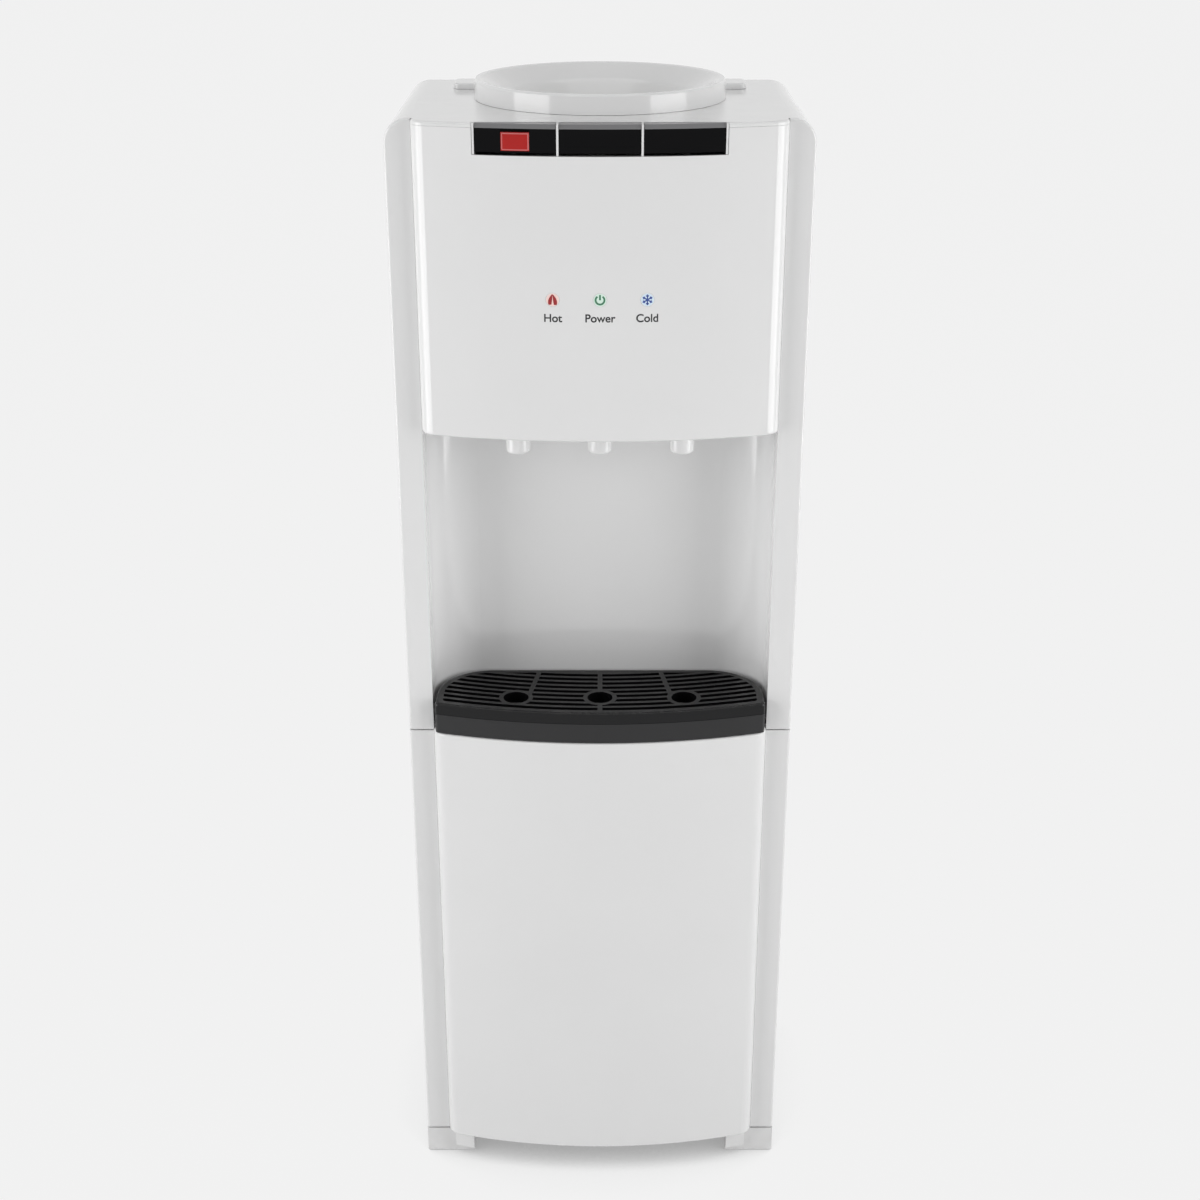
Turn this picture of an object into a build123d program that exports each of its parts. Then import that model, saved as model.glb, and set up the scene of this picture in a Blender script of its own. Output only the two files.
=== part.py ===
from build123d import *
import math
import os

# Floor-standing water dispenser with a bottle on top and hot, warm and cold taps.
# Millimetres, +Z up. The front faces -Y. The origin is on the floor at the centre of the footprint.

# Casing
body_width = 320.0
body_depth = 255.0
top_height = 944.0
base_height = 26.0
foot_height = 11.0
pad_height = 1.5
base_gap = 1.6
seam_height = 441.5
seam_gap = 1.2
strip_width = 20.5
panel_lead = 9.7
panel_crown = 20.0
panel_corner = 13.0
panel_sink = 6.0
panel_round = 2.0
panel_wall = 2.5
plate_wall = 3.0
frame_return = 20.0
frame_ledge = 11.5
top_corner = 18.0
cover_height = 24.0
cover_wall = 2.5
cover_bore = 82.0
cover_rear_round = 16.0
lip_thickness = 3.2
sheet = 1.0
flange_width = 14.0
fit_gap = 0.3
panel_gap = 0.15
edge_round = 2.0
edge_pick = 0.1

# Niche, spouts and tray
niche_depth = 56.3
niche_round = 38.0
upper_front_height = 239.5
rail_height = 13.0
liner_wall = 2.5
tray_height = 17.0
tray_wall = 2.5
tray_gap = 0.8
tray_side_gap = 2.2
tray_front_round = 3.0
tray_round = 46.0
grille_height = 9.7
grille_margin = 6.5
grille_round = 2.4
slot_pitch = 8.0
slot_width = 4.6
slot_count = 10
drain_hole_pitch = 70.0
drain_hole_setback = 0.8
drain_hole_radius = 10.5
drain_boss_radius = 14.2
grille_rib = 4.0
grille_rib_rear = 51.0
grille_rib_front = 60.0

# Taps, rods and buttons
spout_pitch = 65.0
spout_setback = 12.3
spout_radius = 9.5
spout_bore = 4.5
spout_length = 21.5
spout_round = 3.0
tap_radius = 10.0
tap_height = 35.0
tap_neck_radius = 7.0
tap_neck_length = 14.5
tap_bore = 4.0
tap_chamber_radius = 7.5
tap_seat = 5.0
tap_roof = 6.0
inlet_height = 17.0
inlet_radius = 4.5
inlet_bore = 3.0
inlet_length = 20.0
thread_fit = 0.05
rod_radius = 2.5
rod_fit = 0.1
plug_radius = 6.8
plug_height = 4.0
rod_collar_radius = 5.0
rod_collar_height = 2.0
spring_radius = 4.2
spring_wire = 0.8
spring_pitch = 2.4
spring_turns = 6.5
spring_drop = 21.0
button_count = 3
button_width = 59.2
button_pitch = 61.6
button_height = 20.1
button_depth = 14.0
button_bevel = 3.0
button_inset = 0.5
button_swing_gap = 2.3
divider = 1.6
bezel_floor = 3.0
bezel_drop = 28.0
bezel_back = 46.5
pivot_back = 16.0
pivot_drop = 12.0
pivot_radius = 2.0
pivot_fit = 0.05
pivot_grip = 0.7
ear_width = 4.0
ear_half_height = 4.0
arm_width = 8.0
arm_half_height = 2.5
rod_travel_room = 1.0
lift_gap = 0.7
lock_width = 20.7
lock_height = 13.2
lock_offset = 1.3
lock_travel = 1.6
lock_proud = 0.6
lock_bevel = 0.5
lock_recess = 8.5
lock_stem = 4.0
lock_clip = 7.0
clip_thickness = 1.2

# Indicators
indicator_drop = 128.0
indicator_pitch = 35.4
lens_radius = 5.2
lens_fit = 0.1
board_back = 10.2
board_width = 100.0
board_height = 32.0
board_thickness = 1.6
board_boss_radius = 3.0

# Bottle seat and water guide
seat_back = 5.75
seat_radius = 99.0
seat_rise = 15.0
seat_bore = 65.0
seat_wall = 3.0
seat_lip = 5.0
seat_edge = 1.5
seat_draft = 0.6
seat_rim_width = 4.0
seat_slope_radius = 74.0
seat_slope_drop = 12.0
seat_bore_drop = 24.0
seat_crest_round = 9.0
seat_throat_round = 12.0
seat_spigot = 23.0
rest_gap = 0.2
lug_reach = 19.5
lug_setback = 40.0
lug_width = 30.0
lug_height = 4.5
lug_round = 5.0
lug_edge = 1.5
guide_flange = 14.0
guide_thickness = 2.0
guide_cone = 25.0
probe_radius = 12.0
probe_wall = 3.0
probe_drop = 2.0
probe_length = 78.0

# Cold tank
tank_radius = 71.0
tank_rim_drop = 25.0
tank_height = 157.0
tank_wall = 1.0
rim_width = 7.0
seal_height = 5.0
foam_floor = 10.0
foam_half_width = 95.0
foam_front_room = 0.9
foam_rear_room = 30.0
shelf_overhang = 8.0
shelf_flange = 12.0
coil_tube = 2.5
coil_pitch = 11.0
coil_turns = 10.5
coil_gap = 0.2
coil_start = 15.0
pipe_radius = 5.0
pipe_bore = 3.5
pipe_room = 0.5
outlet_drop = 18.0
outlet_forward = 25.0
cold_outlet_side = 45.0
feed_side = 30.0

# Hot tank
hot_radius = 50.0
hot_tank_drop = 72.0
hot_height = 130.0
hot_setback = 38.0
hot_round = 10.0
hot_pipe_forward = 5.0
hot_stub = 10.0
bracket_thickness = 2.0
bracket_width = 90.0
bracket_leg = 40.0
heater_rise = 40.0
heater_height = 40.0
heater_thickness = 2.8
heater_slit = 8.0
thermostat_radius = 8.0
thermostat_height = 6.0
thermostat_spread = 22.0
cold_thermostat_size = (30.0, 29.0, 30.0)
cold_thermostat_drop = 94.0

# Cooling unit
condenser_depth = 20.0
condenser_tube = 2.5
condenser_inset = 60.0
condenser_bottom = 340.0
condenser_top_drop = 100.0
condenser_passes = 13
condenser_lead = 40.0
condenser_exit_side = 15.0
wire_radius = 0.8
wire_count = 20
wire_overhang = 15.0
weld_gap = 0.05
clip_half = 5.0
through_hole_room = 2.0
compressor_radius = 65.0
compressor_height = 140.0
compressor_setback = 90.0
compressor_round = 28.0
compressor_wall = 12.0
seam_ring = 3.0
seam_ring_height = 6.0
foot_plate = 3.0
foot_plate_size = (150.0, 120.0)
grommet_radius = 10.0
grommet_height = 17.0
grommet_spread = (60.0, 45.0)
stub_side = 24.0
stub_back = 20.0
stub_length = 11.0
line_radius = 2.5
line_bend = 10.0
tight_bend = 7.5
suction_setback = 14.0
suction_drop = 40.0
relay_reach = 23.0
relay_size = (36.0, 36.0)
dryer_radius = 9.0
dryer_length = 70.0
dryer_setback = 35.0
dryer_drop = 15.0
dryer_round = 3.0
capillary_radius = 1.2
capillary_inset = 25.0
capillary_setback = 16.0
capillary_drop = 20.0

# Rear fittings
drain_height = 290.0
drain_radius = 6.0
drain_reach = 6.0
drain_bend = 24.0
cap_radius = 11.0
cap_length = 11.0
cap_fit = 0.3
fitting_inset = 32.0
gland_height = 110.0
gland_radius = 8.0
gland_bore = 4.0
gland_flange = 3.0
switch_drop = 144.0
switch_pitch = 35.0
switch_size = (13.0, 19.0)
switch_rim = 2.0
switch_depth = 22.0
rocker_half = (5.2, 7.0)
rocker_proud = 3.0
rocker_depth = 12.0
rocker_pin = 1.5
dent_radius = 36.0
dent_depth = 1.0
screw_head = 3.5
screw_shank = 1.6
screw_length = 6.0
screw_head_height = 2.0
screw_rows = 4
screw_inset = 40.0
vent_rows = 9
vent_columns = 3
vent_size = (70.0, 5.0)
vent_pitch = (84.0, 16.0)
vent_bottom = 60.0

# Base
base_wall = 3.0
base_floor = 4.0
base_floor_height = 15.0
toe_width = 43.5
toe_inset = 6.0
foot_radius = 15.0
foot_inset = 22.0
panel_bottom = 28.0

# Places worked out from the sizes above
half_width = body_width / 2
front_apex = -(body_depth + condenser_depth) / 2 - panel_gap
rear_face = front_apex + panel_gap + body_depth
panel_edge = front_apex + panel_crown
strip_face = panel_edge + panel_lead
ledge_face = strip_face + panel_sink
opening_half = half_width - strip_width
crown_radius = (opening_half ** 2 + panel_crown ** 2) / (2 * panel_crown)
crown_centre = front_apex + crown_radius
cover_bottom = top_height - cover_height
cover_front = strip_face + plate_wall + fit_gap
panel_inner = rear_face - sheet
fitting_side = half_width - fitting_inset
niche_top = top_height - upper_front_height
niche_back = strip_face + niche_depth
tray_bottom = seam_height + liner_wall + fit_gap
tray_top = tray_bottom + tray_height
grille_bottom = tray_top + fit_gap
grille_top = grille_bottom + grille_height
hole_y = strip_face + drain_hole_setback
spout_y = strip_face + spout_setback
spout_places = (-spout_pitch, 0.0, spout_pitch)
ceiling_top = niche_top + liner_wall
inlet_z = ceiling_top + inlet_height
rail_bottom = ceiling_top + tap_height + fit_gap
inlet_end = spout_y + inlet_length
button_top = top_height - fit_gap
button_bottom = button_top - button_height
notch_floor = button_bottom - button_swing_gap
button_back = front_apex + button_depth + fit_gap
lip_bottom = top_height - lip_thickness
pivot_y = front_apex + pivot_back
pivot_z = top_height - pivot_drop
bezel_z = top_height - bezel_drop
bezel_half = button_count * button_pitch / 2 + divider / 2
notch_half = bezel_half + fit_gap
arm_top = pivot_z + arm_half_height
lock_x = -button_pitch
lock_bottom = button_bottom + lock_offset
lock_top = lock_bottom + lock_height
lock_back = front_apex + lock_recess
stem_x = (arm_width + lock_clip) / 2 + 2 * fit_gap - spout_pitch
stem_bottom = pivot_z - lock_stem / 2
indicator_height = top_height - indicator_drop
foam_front = spout_y + rod_collar_radius + foam_front_room
foam_rear = rear_face - foam_rear_room
shelf_rear = foam_rear + shelf_overhang
seat_centre = (foam_front + foam_rear) / 2 + seat_back
probe_top = top_height - probe_drop
probe_bottom = probe_top - probe_length
tank_rim = top_height - tank_rim_drop
tank_floor = tank_rim - tank_height
foam_bottom = tank_floor - foam_floor
outlet_end = tank_floor - outlet_drop
coil_radius = tank_radius + coil_gap + coil_tube
foam_bore = coil_radius + coil_tube + pipe_room
coil_bottom = tank_floor + coil_start
coil_top = coil_bottom + coil_pitch * coil_turns
hot_centre = seat_centre + hot_setback
hot_top = tank_floor - hot_tank_drop
hot_floor = hot_top - hot_height
cold_thermostat_height = top_height - cold_thermostat_drop
condenser_y = rear_face + condenser_depth - 2 * wire_radius - weld_gap - condenser_tube
condenser_top = cover_bottom - condenser_top_drop
condenser_pitch = (condenser_top - condenser_bottom) / (condenser_passes - 1)
condenser_entry = condenser_bottom - condenser_lead
condenser_half_width = half_width - condenser_inset
condenser_exit = -(condenser_half_width + condenser_exit_side)
base_top = base_floor_height + base_floor
can_bottom = base_top + grommet_height + foot_plate
can_top = can_bottom + compressor_height
stub_top = can_top + stub_length
compressor_centre = rear_face - compressor_setback
stub_y = compressor_centre + stub_back
capillary_side = half_width - capillary_inset
switch_height = top_height - switch_drop
rocker_pivot = rear_face + rocker_proud - rocker_depth / 2 - rocker_pin
screw_side = half_width - flange_width / 2
screw_bottom = base_height + screw_inset
screw_step = (cover_bottom - screw_inset - screw_bottom) / (screw_rows - 1)
screw_heights = [screw_bottom + k * screw_step for k in range(screw_rows)]


def block(x0, x1, y0, y1, z0, z1):
    """A box between two opposite corners."""
    centre = Pos((x0 + x1) / 2, (y0 + y1) / 2, (z0 + z1) / 2)
    return centre * Box(x1 - x0, y1 - y0, z1 - z0)


def upright(radius, x, y, z0, z1):
    """A vertical round bar."""
    return Pos(x, y, (z0 + z1) / 2) * Cylinder(radius, z1 - z0)


def bar_y(radius, x, z, y0, y1):
    """A round bar that runs front to back."""
    return Pos(x, (y0 + y1) / 2, z) * Rot(90, 0, 0) * Cylinder(radius, y1 - y0)


def bar_x(radius, y, z, x0, x1):
    """A round bar that runs side to side."""
    return Pos((x0 + x1) / 2, y, z) * Rot(0, 90, 0) * Cylinder(radius, x1 - x0)


def prism(plan, z0, z1):
    """A plan outline raised from z0 to z1."""
    return extrude(Pos(0, 0, z0) * plan, amount=z1 - z0, dir=(0, 0, 1))


def turned(points, y, rounds=()):
    """A solid turned about a vertical line through (0, y), with some of its corners rounded."""
    outline = make_face(Polyline(*[(r, 0, z) for r, z in points], close=True))
    for corner, radius in rounds:
        r, z = points[corner]
        outline = fillet(outline.vertices().sort_by_distance((r, 0, z))[:1], radius)
    return Pos(0, y, 0) * revolve(outline, Axis.Z)


def tube(points, bend, outer, bore=0.0):
    """A round tube along straight runs joined by tangent arcs."""
    path = FilletPolyline(*points, radius=bend) if len(points) > 2 else Line(*points)
    start = Plane(origin=path @ 0, z_dir=path % 0)
    section = start * Circle(outer)
    if bore:
        section -= start * Circle(bore)
    swept = sweep(section, path=path)
    expected = section.area * path.length
    print("tube volume over section times length: %.4f" % (swept.volume / expected))
    return swept


def crowned_plan(inset, back, front_round=0.0, back_round=0.0, narrowing=0.0):
    """Plan of a front piece: straight sides, a crowned front and a straight back."""
    radius = crown_radius - inset
    side = opening_half - inset - narrowing
    front = crown_centre - math.sqrt(radius ** 2 - side ** 2)
    sides = Polyline((side, front), (side, back), (-side, back), (-side, front))
    crown = ThreePointArc((-side, front), (0, crown_centre - radius), (side, front))
    plan = make_face(sides.edges() + crown.edges())
    if back_round:
        plan = fillet(plan.vertices().group_by(Axis.Y)[-1], back_round)
    if front_round:
        plan = fillet(plan.vertices().group_by(Axis.Y)[0], front_round)
    return plan


def crown_slice(x0, x1, z0, z1, inset, back):
    """The part of the crowned front between two sides and two heights."""
    whole = prism(crowned_plan(inset, back), z0, z1)
    return whole & block(x0, x1, front_apex - panel_crown, back, z0, z1)


def front_frame(bottom, top, round_top=0.0):
    """Flat strips beside a front opening, each with an outer and an inner return."""
    back = strip_face + frame_return
    frame = block(-half_width, half_width, strip_face, back, bottom, top)
    if round_top:
        frame = fillet(frame.edges().filter_by(Axis.Y).group_by(Axis.Z)[-1], round_top)
    rim = frame.faces().sort_by(Axis.Y)[0].edges().filter_by(Axis.X, reverse=True)
    frame = fillet(rim, edge_round)
    inside = half_width - plate_wall
    frame -= block(-inside, inside, ledge_face, back, bottom, top)
    web = opening_half + plate_wall
    for x0, x1 in ((-inside, -web), (web, inside)):
        frame -= block(x0, x1, strip_face + plate_wall, ledge_face, bottom, top)
    return frame - block(-opening_half, opening_half, strip_face, back, bottom, top)


def frame_ladder(bottom, top, rails):
    """Ledges behind a panel's side edges, joined by rails at the given heights."""
    inside = half_width - plate_wall
    window = opening_half - frame_ledge
    back = ledge_face + plate_wall
    ladder = block(-inside, inside, ledge_face, back, bottom, top)
    ladder -= block(-window, window, ledge_face, back, bottom, top)
    for z in rails:
        ladder += block(-inside, inside, ledge_face, back, z, z + rail_height)
    return ladder


def build_upper_front_frame():
    """Upper strips with rounded top corners, ledges and a rail above the niche."""
    back = strip_face + frame_return
    frame = front_frame(seam_height + seam_gap / 2, top_height, top_corner)
    frame -= block(-half_width, half_width, strip_face + plate_wall, back, cover_bottom - fit_gap, top_height)
    return frame + frame_ladder(ceiling_top, cover_bottom - fit_gap, [rail_bottom])


def build_lower_front_frame():
    """Lower strips with ledges, and rails at the top and the bottom."""
    top = seam_height - seam_gap / 2
    frame = front_frame(base_height + base_gap, top)
    return frame + frame_ladder(base_height, top, [base_height, top - rail_height])


def front_panel(bottom, top, round_top=True):
    """Crowned panel shell, open at the back, with rounded side corners and ends."""
    shell = prism(crowned_plan(panel_gap, ledge_face, panel_corner), bottom, top)
    ends = shell.edges().filter_by(lambda e: abs(e.tangent_at(0.5).Z) < 0.5)
    ends = ends.filter_by(lambda e: e.center().Y < ledge_face - edge_pick)
    if not round_top:
        ends = ends.filter_by(lambda e: e.center().Z < top - edge_pick)
    shell = fillet(ends, panel_round)
    inner_corner = panel_corner - panel_wall
    cavity = crowned_plan(panel_gap + panel_wall, ledge_face, inner_corner)
    return shell - prism(cavity, bottom + panel_wall, top - panel_wall)


def build_upper_front_panel():
    """Upper panel with the button notch, the lens holes and the bosses of the indicator board."""
    panel = front_panel(niche_top, lip_bottom - panel_gap, round_top=False)
    panel -= block(-notch_half, notch_half, front_apex, ledge_face, notch_floor, top_height)
    for x in (-indicator_pitch, 0.0, indicator_pitch):
        panel -= bar_y(lens_radius + lens_fit, x, indicator_height, front_apex, strip_face)
    board_face = front_apex + board_back
    whole = prism(crowned_plan(panel_gap + panel_wall / 2, strip_face), niche_top, top_height)
    for side in (-1, 1):
        x = side * (board_width / 2 - board_boss_radius)
        panel += bar_y(board_boss_radius, x, indicator_height, front_apex, board_face) & whole
    return panel


def build_lower_front_panel():
    """Plain lower panel below the tray."""
    return front_panel(panel_bottom, tray_bottom - tray_gap)


def cover_block(inset):
    """Top cover outline with rounded sides and a rounded rear edge, drawn inset inside itself."""
    solid = block(-half_width + inset, half_width - inset, cover_front + inset, rear_face - inset,
                  cover_bottom, top_height - inset)
    tops = solid.edges().filter_by(Axis.Y).group_by(Axis.Z)[-1]
    solid = fillet(tops, top_corner - inset)
    rear = solid.faces().sort_by(Axis.Y)[-1].edges()
    rear = rear.filter_by(lambda e: e.center().Z > cover_bottom + edge_pick)
    return fillet(rear, cover_rear_round - inset)


def build_top_cover():
    """Hollow top cover with a crowned front lip and the hole for the bottle seat."""
    cover = cover_block(0.0) - cover_block(cover_wall)
    cover -= block(-opening_half, opening_half, cover_front, cover_front + cover_wall,
                   cover_bottom, lip_bottom)
    lip = prism(crowned_plan(panel_gap, cover_front + cover_wall, panel_corner), lip_bottom, top_height)
    brow = lip.edges().group_by(Axis.Z)[-1].filter_by(lambda e: e.center().Y < strip_face)
    cover += fillet(brow, edge_round)
    cover -= block(-notch_half, notch_half, front_apex, button_back, lip_bottom, top_height)
    cover -= upright(cover_bore, 0, seat_centre, cover_bottom, top_height)
    return cover


def build_side_panel(side):
    """Sheet side panel with inward flanges at its front and rear edges."""
    front = strip_face + frame_return + fit_gap
    bottom = base_height + fit_gap
    top = cover_bottom - fit_gap
    outer = half_width
    panel = block(outer - sheet, outer, front, panel_inner, bottom, top)
    panel += block(outer - flange_width, outer, front, front + sheet, bottom, top)
    panel += block(outer - flange_width, outer, panel_inner - sheet, panel_inner, bottom, top)
    for z in screw_heights:
        panel -= bar_y(screw_shank + rod_fit, screw_side, z, panel_inner - sheet, panel_inner)
    return panel if side > 0 else mirror(panel, Plane.YZ)


def build_rear_panel():
    """Sheet rear panel with vents, fitting holes and screw holes."""
    bottom = base_height + fit_gap
    top = cover_bottom - fit_gap
    panel = block(-half_width, half_width, panel_inner, rear_face, bottom, top)
    cuts = []
    for row in range(vent_rows):
        for column in range(vent_columns):
            x = (column - (vent_columns - 1) / 2) * vent_pitch[0]
            z = vent_bottom + row * vent_pitch[1]
            cuts.append(block(x - vent_size[0] / 2, x + vent_size[0] / 2, panel_inner, rear_face,
                              z - vent_size[1] / 2, z + vent_size[1] / 2))
    tube_hole = condenser_tube + through_hole_room
    for x in (condenser_half_width, condenser_exit):
        cuts.append(bar_y(tube_hole, x, condenser_entry, panel_inner, rear_face))
    cuts.append(bar_y(drain_radius + fit_gap, 0, drain_height, panel_inner, rear_face))
    cuts.append(bar_y(gland_radius + fit_gap, -fitting_side, gland_height, panel_inner, rear_face))
    for z in (switch_height, switch_height - switch_pitch):
        half_x = switch_size[0] / 2 + fit_gap
        half_z = switch_size[1] / 2 + fit_gap
        cuts.append(block(fitting_side - half_x, fitting_side + half_x, panel_inner, rear_face,
                          z - half_z, z + half_z))
    for side in (-1, 1):
        for z in screw_heights:
            cuts.append(bar_y(screw_shank + rod_fit, side * screw_side, z, panel_inner, rear_face))
    return panel - cuts


def build_rear_screws():
    """Pan-head screws that hold the rear panel to the side flanges."""
    screws = []
    for side in (-1, 1):
        for z in screw_heights:
            head = bar_y(screw_head, side * screw_side, z, rear_face, rear_face + screw_head_height)
            shank = bar_y(screw_shank, side * screw_side, z, rear_face - screw_length, rear_face)
            screws.append(head + shank)
    return screws


def build_base_frame():
    """Moulded base: floor plate, rim and four corner feet, open between the front feet."""
    plan = block(-half_width, half_width, strip_face, rear_face, foot_height, base_height)
    rim = half_width - base_wall
    base = plan - block(-rim, rim, strip_face + base_wall, rear_face - base_wall, foot_height, base_height)
    base += block(-rim, rim, strip_face + base_wall, rear_face - base_wall, base_floor_height, base_top)
    inner = half_width - toe_width
    for x0, x1 in ((-half_width, -inner), (inner, half_width)):
        base += block(x0, x1, strip_face, strip_face + toe_width, pad_height, base_top)
        base += block(x0, x1, rear_face - toe_width, rear_face, pad_height, base_top)
    base -= block(-inner, inner, strip_face, strip_face + base_wall, foot_height, base_height)
    toes = prism(crowned_plan(toe_inset, strip_face), foot_height, base_height)
    return base + (toes - block(-inner, inner, front_apex, strip_face, foot_height, base_height))


def build_foot_pads():
    """Four rubber pads under the corner feet."""
    pads = []
    for x in (-half_width + foot_inset, half_width - foot_inset):
        for y in (strip_face + foot_inset, rear_face - foot_inset):
            pads.append(upright(foot_radius, x, y, 0, pad_height))
    return pads


def niche_plan(grow):
    """Plan of the niche behind the front frame, grown outwards."""
    front = ledge_face
    side = opening_half + grow
    plan = make_face(Polyline((side, front), (side, niche_back + grow), (-side, niche_back + grow),
                              (-side, front), close=True))
    return fillet(plan.vertices().group_by(Axis.Y)[-1], niche_round + grow)


def build_niche_liner():
    """Recess with a floor for the tray and a ceiling for the taps."""
    liner = prism(niche_plan(liner_wall), seam_height, ceiling_top)
    liner -= prism(niche_plan(0.0), seam_height + liner_wall, niche_top)
    for x in spout_places:
        liner -= upright(tap_neck_radius + fit_gap, x, spout_y, niche_top, ceiling_top)
    return liner


def tray_plan(inset):
    """Plan of the drip tray: the niche behind, the crowned panel line in front."""
    back = niche_back - tray_gap - inset
    return crowned_plan(panel_gap + inset, back, tray_front_round, tray_round - inset, tray_side_gap)


def build_drip_tray():
    """Open tray that stands on the niche floor."""
    tray = prism(tray_plan(0.0), tray_bottom, tray_top)
    return tray - prism(tray_plan(tray_wall), tray_bottom + tray_wall, tray_top)


def grille_slots():
    """Curved slots parallel to the front, broken by ribs and drain bosses."""
    bands = Sketch()
    for k in range(slot_count):
        outer = crown_radius - panel_gap - grille_margin - k * slot_pitch
        bands += Pos(0, crown_centre) * (Circle(outer) - Circle(outer - slot_width))
    slots = bands & tray_plan(grille_margin)
    front = front_apex
    slots -= Pos(0, (front + niche_back) / 2) * Rectangle(grille_rib, niche_back - front)
    half = grille_rib / 2
    for side in (-1, 1):
        slots -= make_face(Polyline((side * grille_rib_rear - half, niche_back),
                                    (side * grille_rib_rear + half, niche_back),
                                    (side * grille_rib_front + half, hole_y),
                                    (side * grille_rib_front - half, hole_y), close=True))
    for x in (-drain_hole_pitch, 0.0, drain_hole_pitch):
        slots -= Pos(x, hole_y) * Circle(drain_boss_radius)
    for x in (-drain_hole_pitch, 0.0, drain_hole_pitch):
        slots += Pos(x, hole_y) * Circle(drain_hole_radius)
    return slots


def build_drip_grille():
    """Lid of the tray: a slab with deep slots between its bars."""
    grille = prism(tray_plan(0.0), grille_bottom, grille_top)
    grille = fillet(grille.edges().group_by(Axis.Z)[-1], grille_round)
    return grille - prism(grille_slots(), grille_bottom, grille_top)


def build_tap(x):
    """Tap body with its valve chamber, threaded neck and rear inlet."""
    top = ceiling_top + tap_height
    tap = upright(tap_radius, x, spout_y, ceiling_top, top)
    tap += upright(tap_neck_radius, x, spout_y, ceiling_top - tap_neck_length, ceiling_top)
    tap += bar_y(inlet_radius, x, inlet_z, spout_y, inlet_end)
    tap -= upright(tap_bore, x, spout_y, ceiling_top - tap_neck_length, ceiling_top + tap_seat)
    tap -= upright(tap_chamber_radius, x, spout_y, ceiling_top + tap_seat, top - tap_roof)
    tap -= upright(rod_radius + rod_fit, x, spout_y, top - tap_roof, top)
    return tap - bar_y(inlet_bore, x, inlet_z, spout_y, inlet_end)


def build_spout_nozzles():
    """Three nozzles that screw on the tap necks under the niche ceiling."""
    nozzles = []
    for x in spout_places:
        bottom = niche_top - spout_length
        nozzle = upright(spout_radius, x, spout_y, bottom, niche_top)
        nozzle = fillet(nozzle.edges().group_by(Axis.Z)[0], spout_round)
        neck_end = ceiling_top - tap_neck_length - fit_gap
        nozzle -= upright(tap_neck_radius + thread_fit, x, spout_y, neck_end, niche_top)
        nozzles.append(nozzle - upright(spout_bore, x, spout_y, bottom, neck_end))
    return nozzles


def build_lift_rod(x):
    """Rod that a button lifts, with its valve plug below, its spring collar and its top collar."""
    seat = ceiling_top + tap_seat + fit_gap
    collar = arm_top + lift_gap
    top = collar + rod_collar_height
    spring_seat = bezel_z - spring_drop
    rod = upright(rod_radius, x, spout_y, seat, top)
    rod += upright(plug_radius, x, spout_y, seat, seat + plug_height)
    rod += upright(rod_collar_radius, x, spout_y, collar, top)
    return rod + upright(rod_collar_radius, x, spout_y, spring_seat - rod_collar_height, spring_seat)


def build_return_spring(x):
    """Closing spring that stands on the rod's lower collar."""
    bottom = bezel_z - spring_drop + fit_gap + spring_wire / 2
    path = Helix(spring_pitch, spring_pitch * spring_turns, spring_radius)
    start = Plane(origin=path @ 0, z_dir=path % 0)
    coil = sweep(start * Circle(spring_wire / 2), path=path, is_frenet=True)
    print("return spring gap between turns: %.2f" % (spring_pitch - spring_wire))
    return Pos(x, spout_y, bottom) * coil


def build_button(place, rod_x):
    """Paddle with a crowned face, two pivot ears and an arm that lifts its rod."""
    x0 = place - button_width / 2
    x1 = place + button_width / 2
    back = front_apex + button_depth
    paddle = crown_slice(x0, x1, button_bottom, button_top, button_inset, back)
    top_front = paddle.edges().filter_by(lambda e: e.center().Z > button_top - edge_pick)
    top_front = top_front.filter_by(lambda e: abs(e.tangent_at(0.5).X) > 0.5).sort_by(Axis.Y)[:1]
    paddle = chamfer(top_front, button_bevel)
    low = pivot_z - ear_half_height
    high = pivot_z + ear_half_height
    for side, edge in ((-1, x0), (1, x1)):
        inner = edge - side * ear_width
        paddle += block(min(edge, inner), max(edge, inner), back - fit_gap, pivot_y + ear_half_height,
                        low, high)
        tip = edge + side * (pivot_grip + (button_pitch - button_width - divider) / 2)
        paddle += bar_x(pivot_radius, pivot_y, pivot_z, min(inner, tip), max(inner, tip))
    arm_end = spout_y + rod_radius + arm_half_height
    arm = block(rod_x - arm_width / 2, rod_x + arm_width / 2, back - fit_gap, arm_end,
                pivot_z - arm_half_height, arm_top)
    arm -= upright(rod_radius + rod_travel_room, rod_x, spout_y, pivot_z - arm_half_height, arm_top)
    return paddle + arm


def build_hot_button():
    """Hot paddle with the recess and slot that guide the child lock."""
    paddle = build_button(-button_pitch, -spout_pitch)
    half = lock_width / 2 + fit_gap
    paddle -= block(lock_x - half, lock_x + half, front_apex - panel_crown, lock_back + fit_gap,
                    lock_bottom - fit_gap, lock_top + lock_travel + fit_gap)
    slot = lock_stem / 2 + fit_gap
    back = front_apex + button_depth
    return paddle - block(stem_x - slot, stem_x + slot, lock_back, back,
                          stem_bottom - fit_gap, stem_bottom + lock_stem + lock_travel + fit_gap)


def build_child_lock():
    """Red slider on the hot paddle, held by a stem and a clip behind it."""
    x0 = lock_x - lock_width / 2
    x1 = lock_x + lock_width / 2
    lock = crown_slice(x0, x1, lock_bottom, lock_top, button_inset - lock_proud, lock_back)
    lock = chamfer(lock.faces().filter_by(GeomType.CYLINDER).sort_by(Axis.Y)[0].edges(), lock_bevel)
    back = front_apex + button_depth
    stem_top = stem_bottom + lock_stem
    half = lock_stem / 2
    lock += block(stem_x - half, stem_x + half, lock_back, back + fit_gap, stem_bottom, stem_top)
    clip = lock_clip / 2
    return lock + block(stem_x - clip, stem_x + clip, back + fit_gap, back + fit_gap + clip_thickness,
                        stem_bottom, stem_top)


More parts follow.
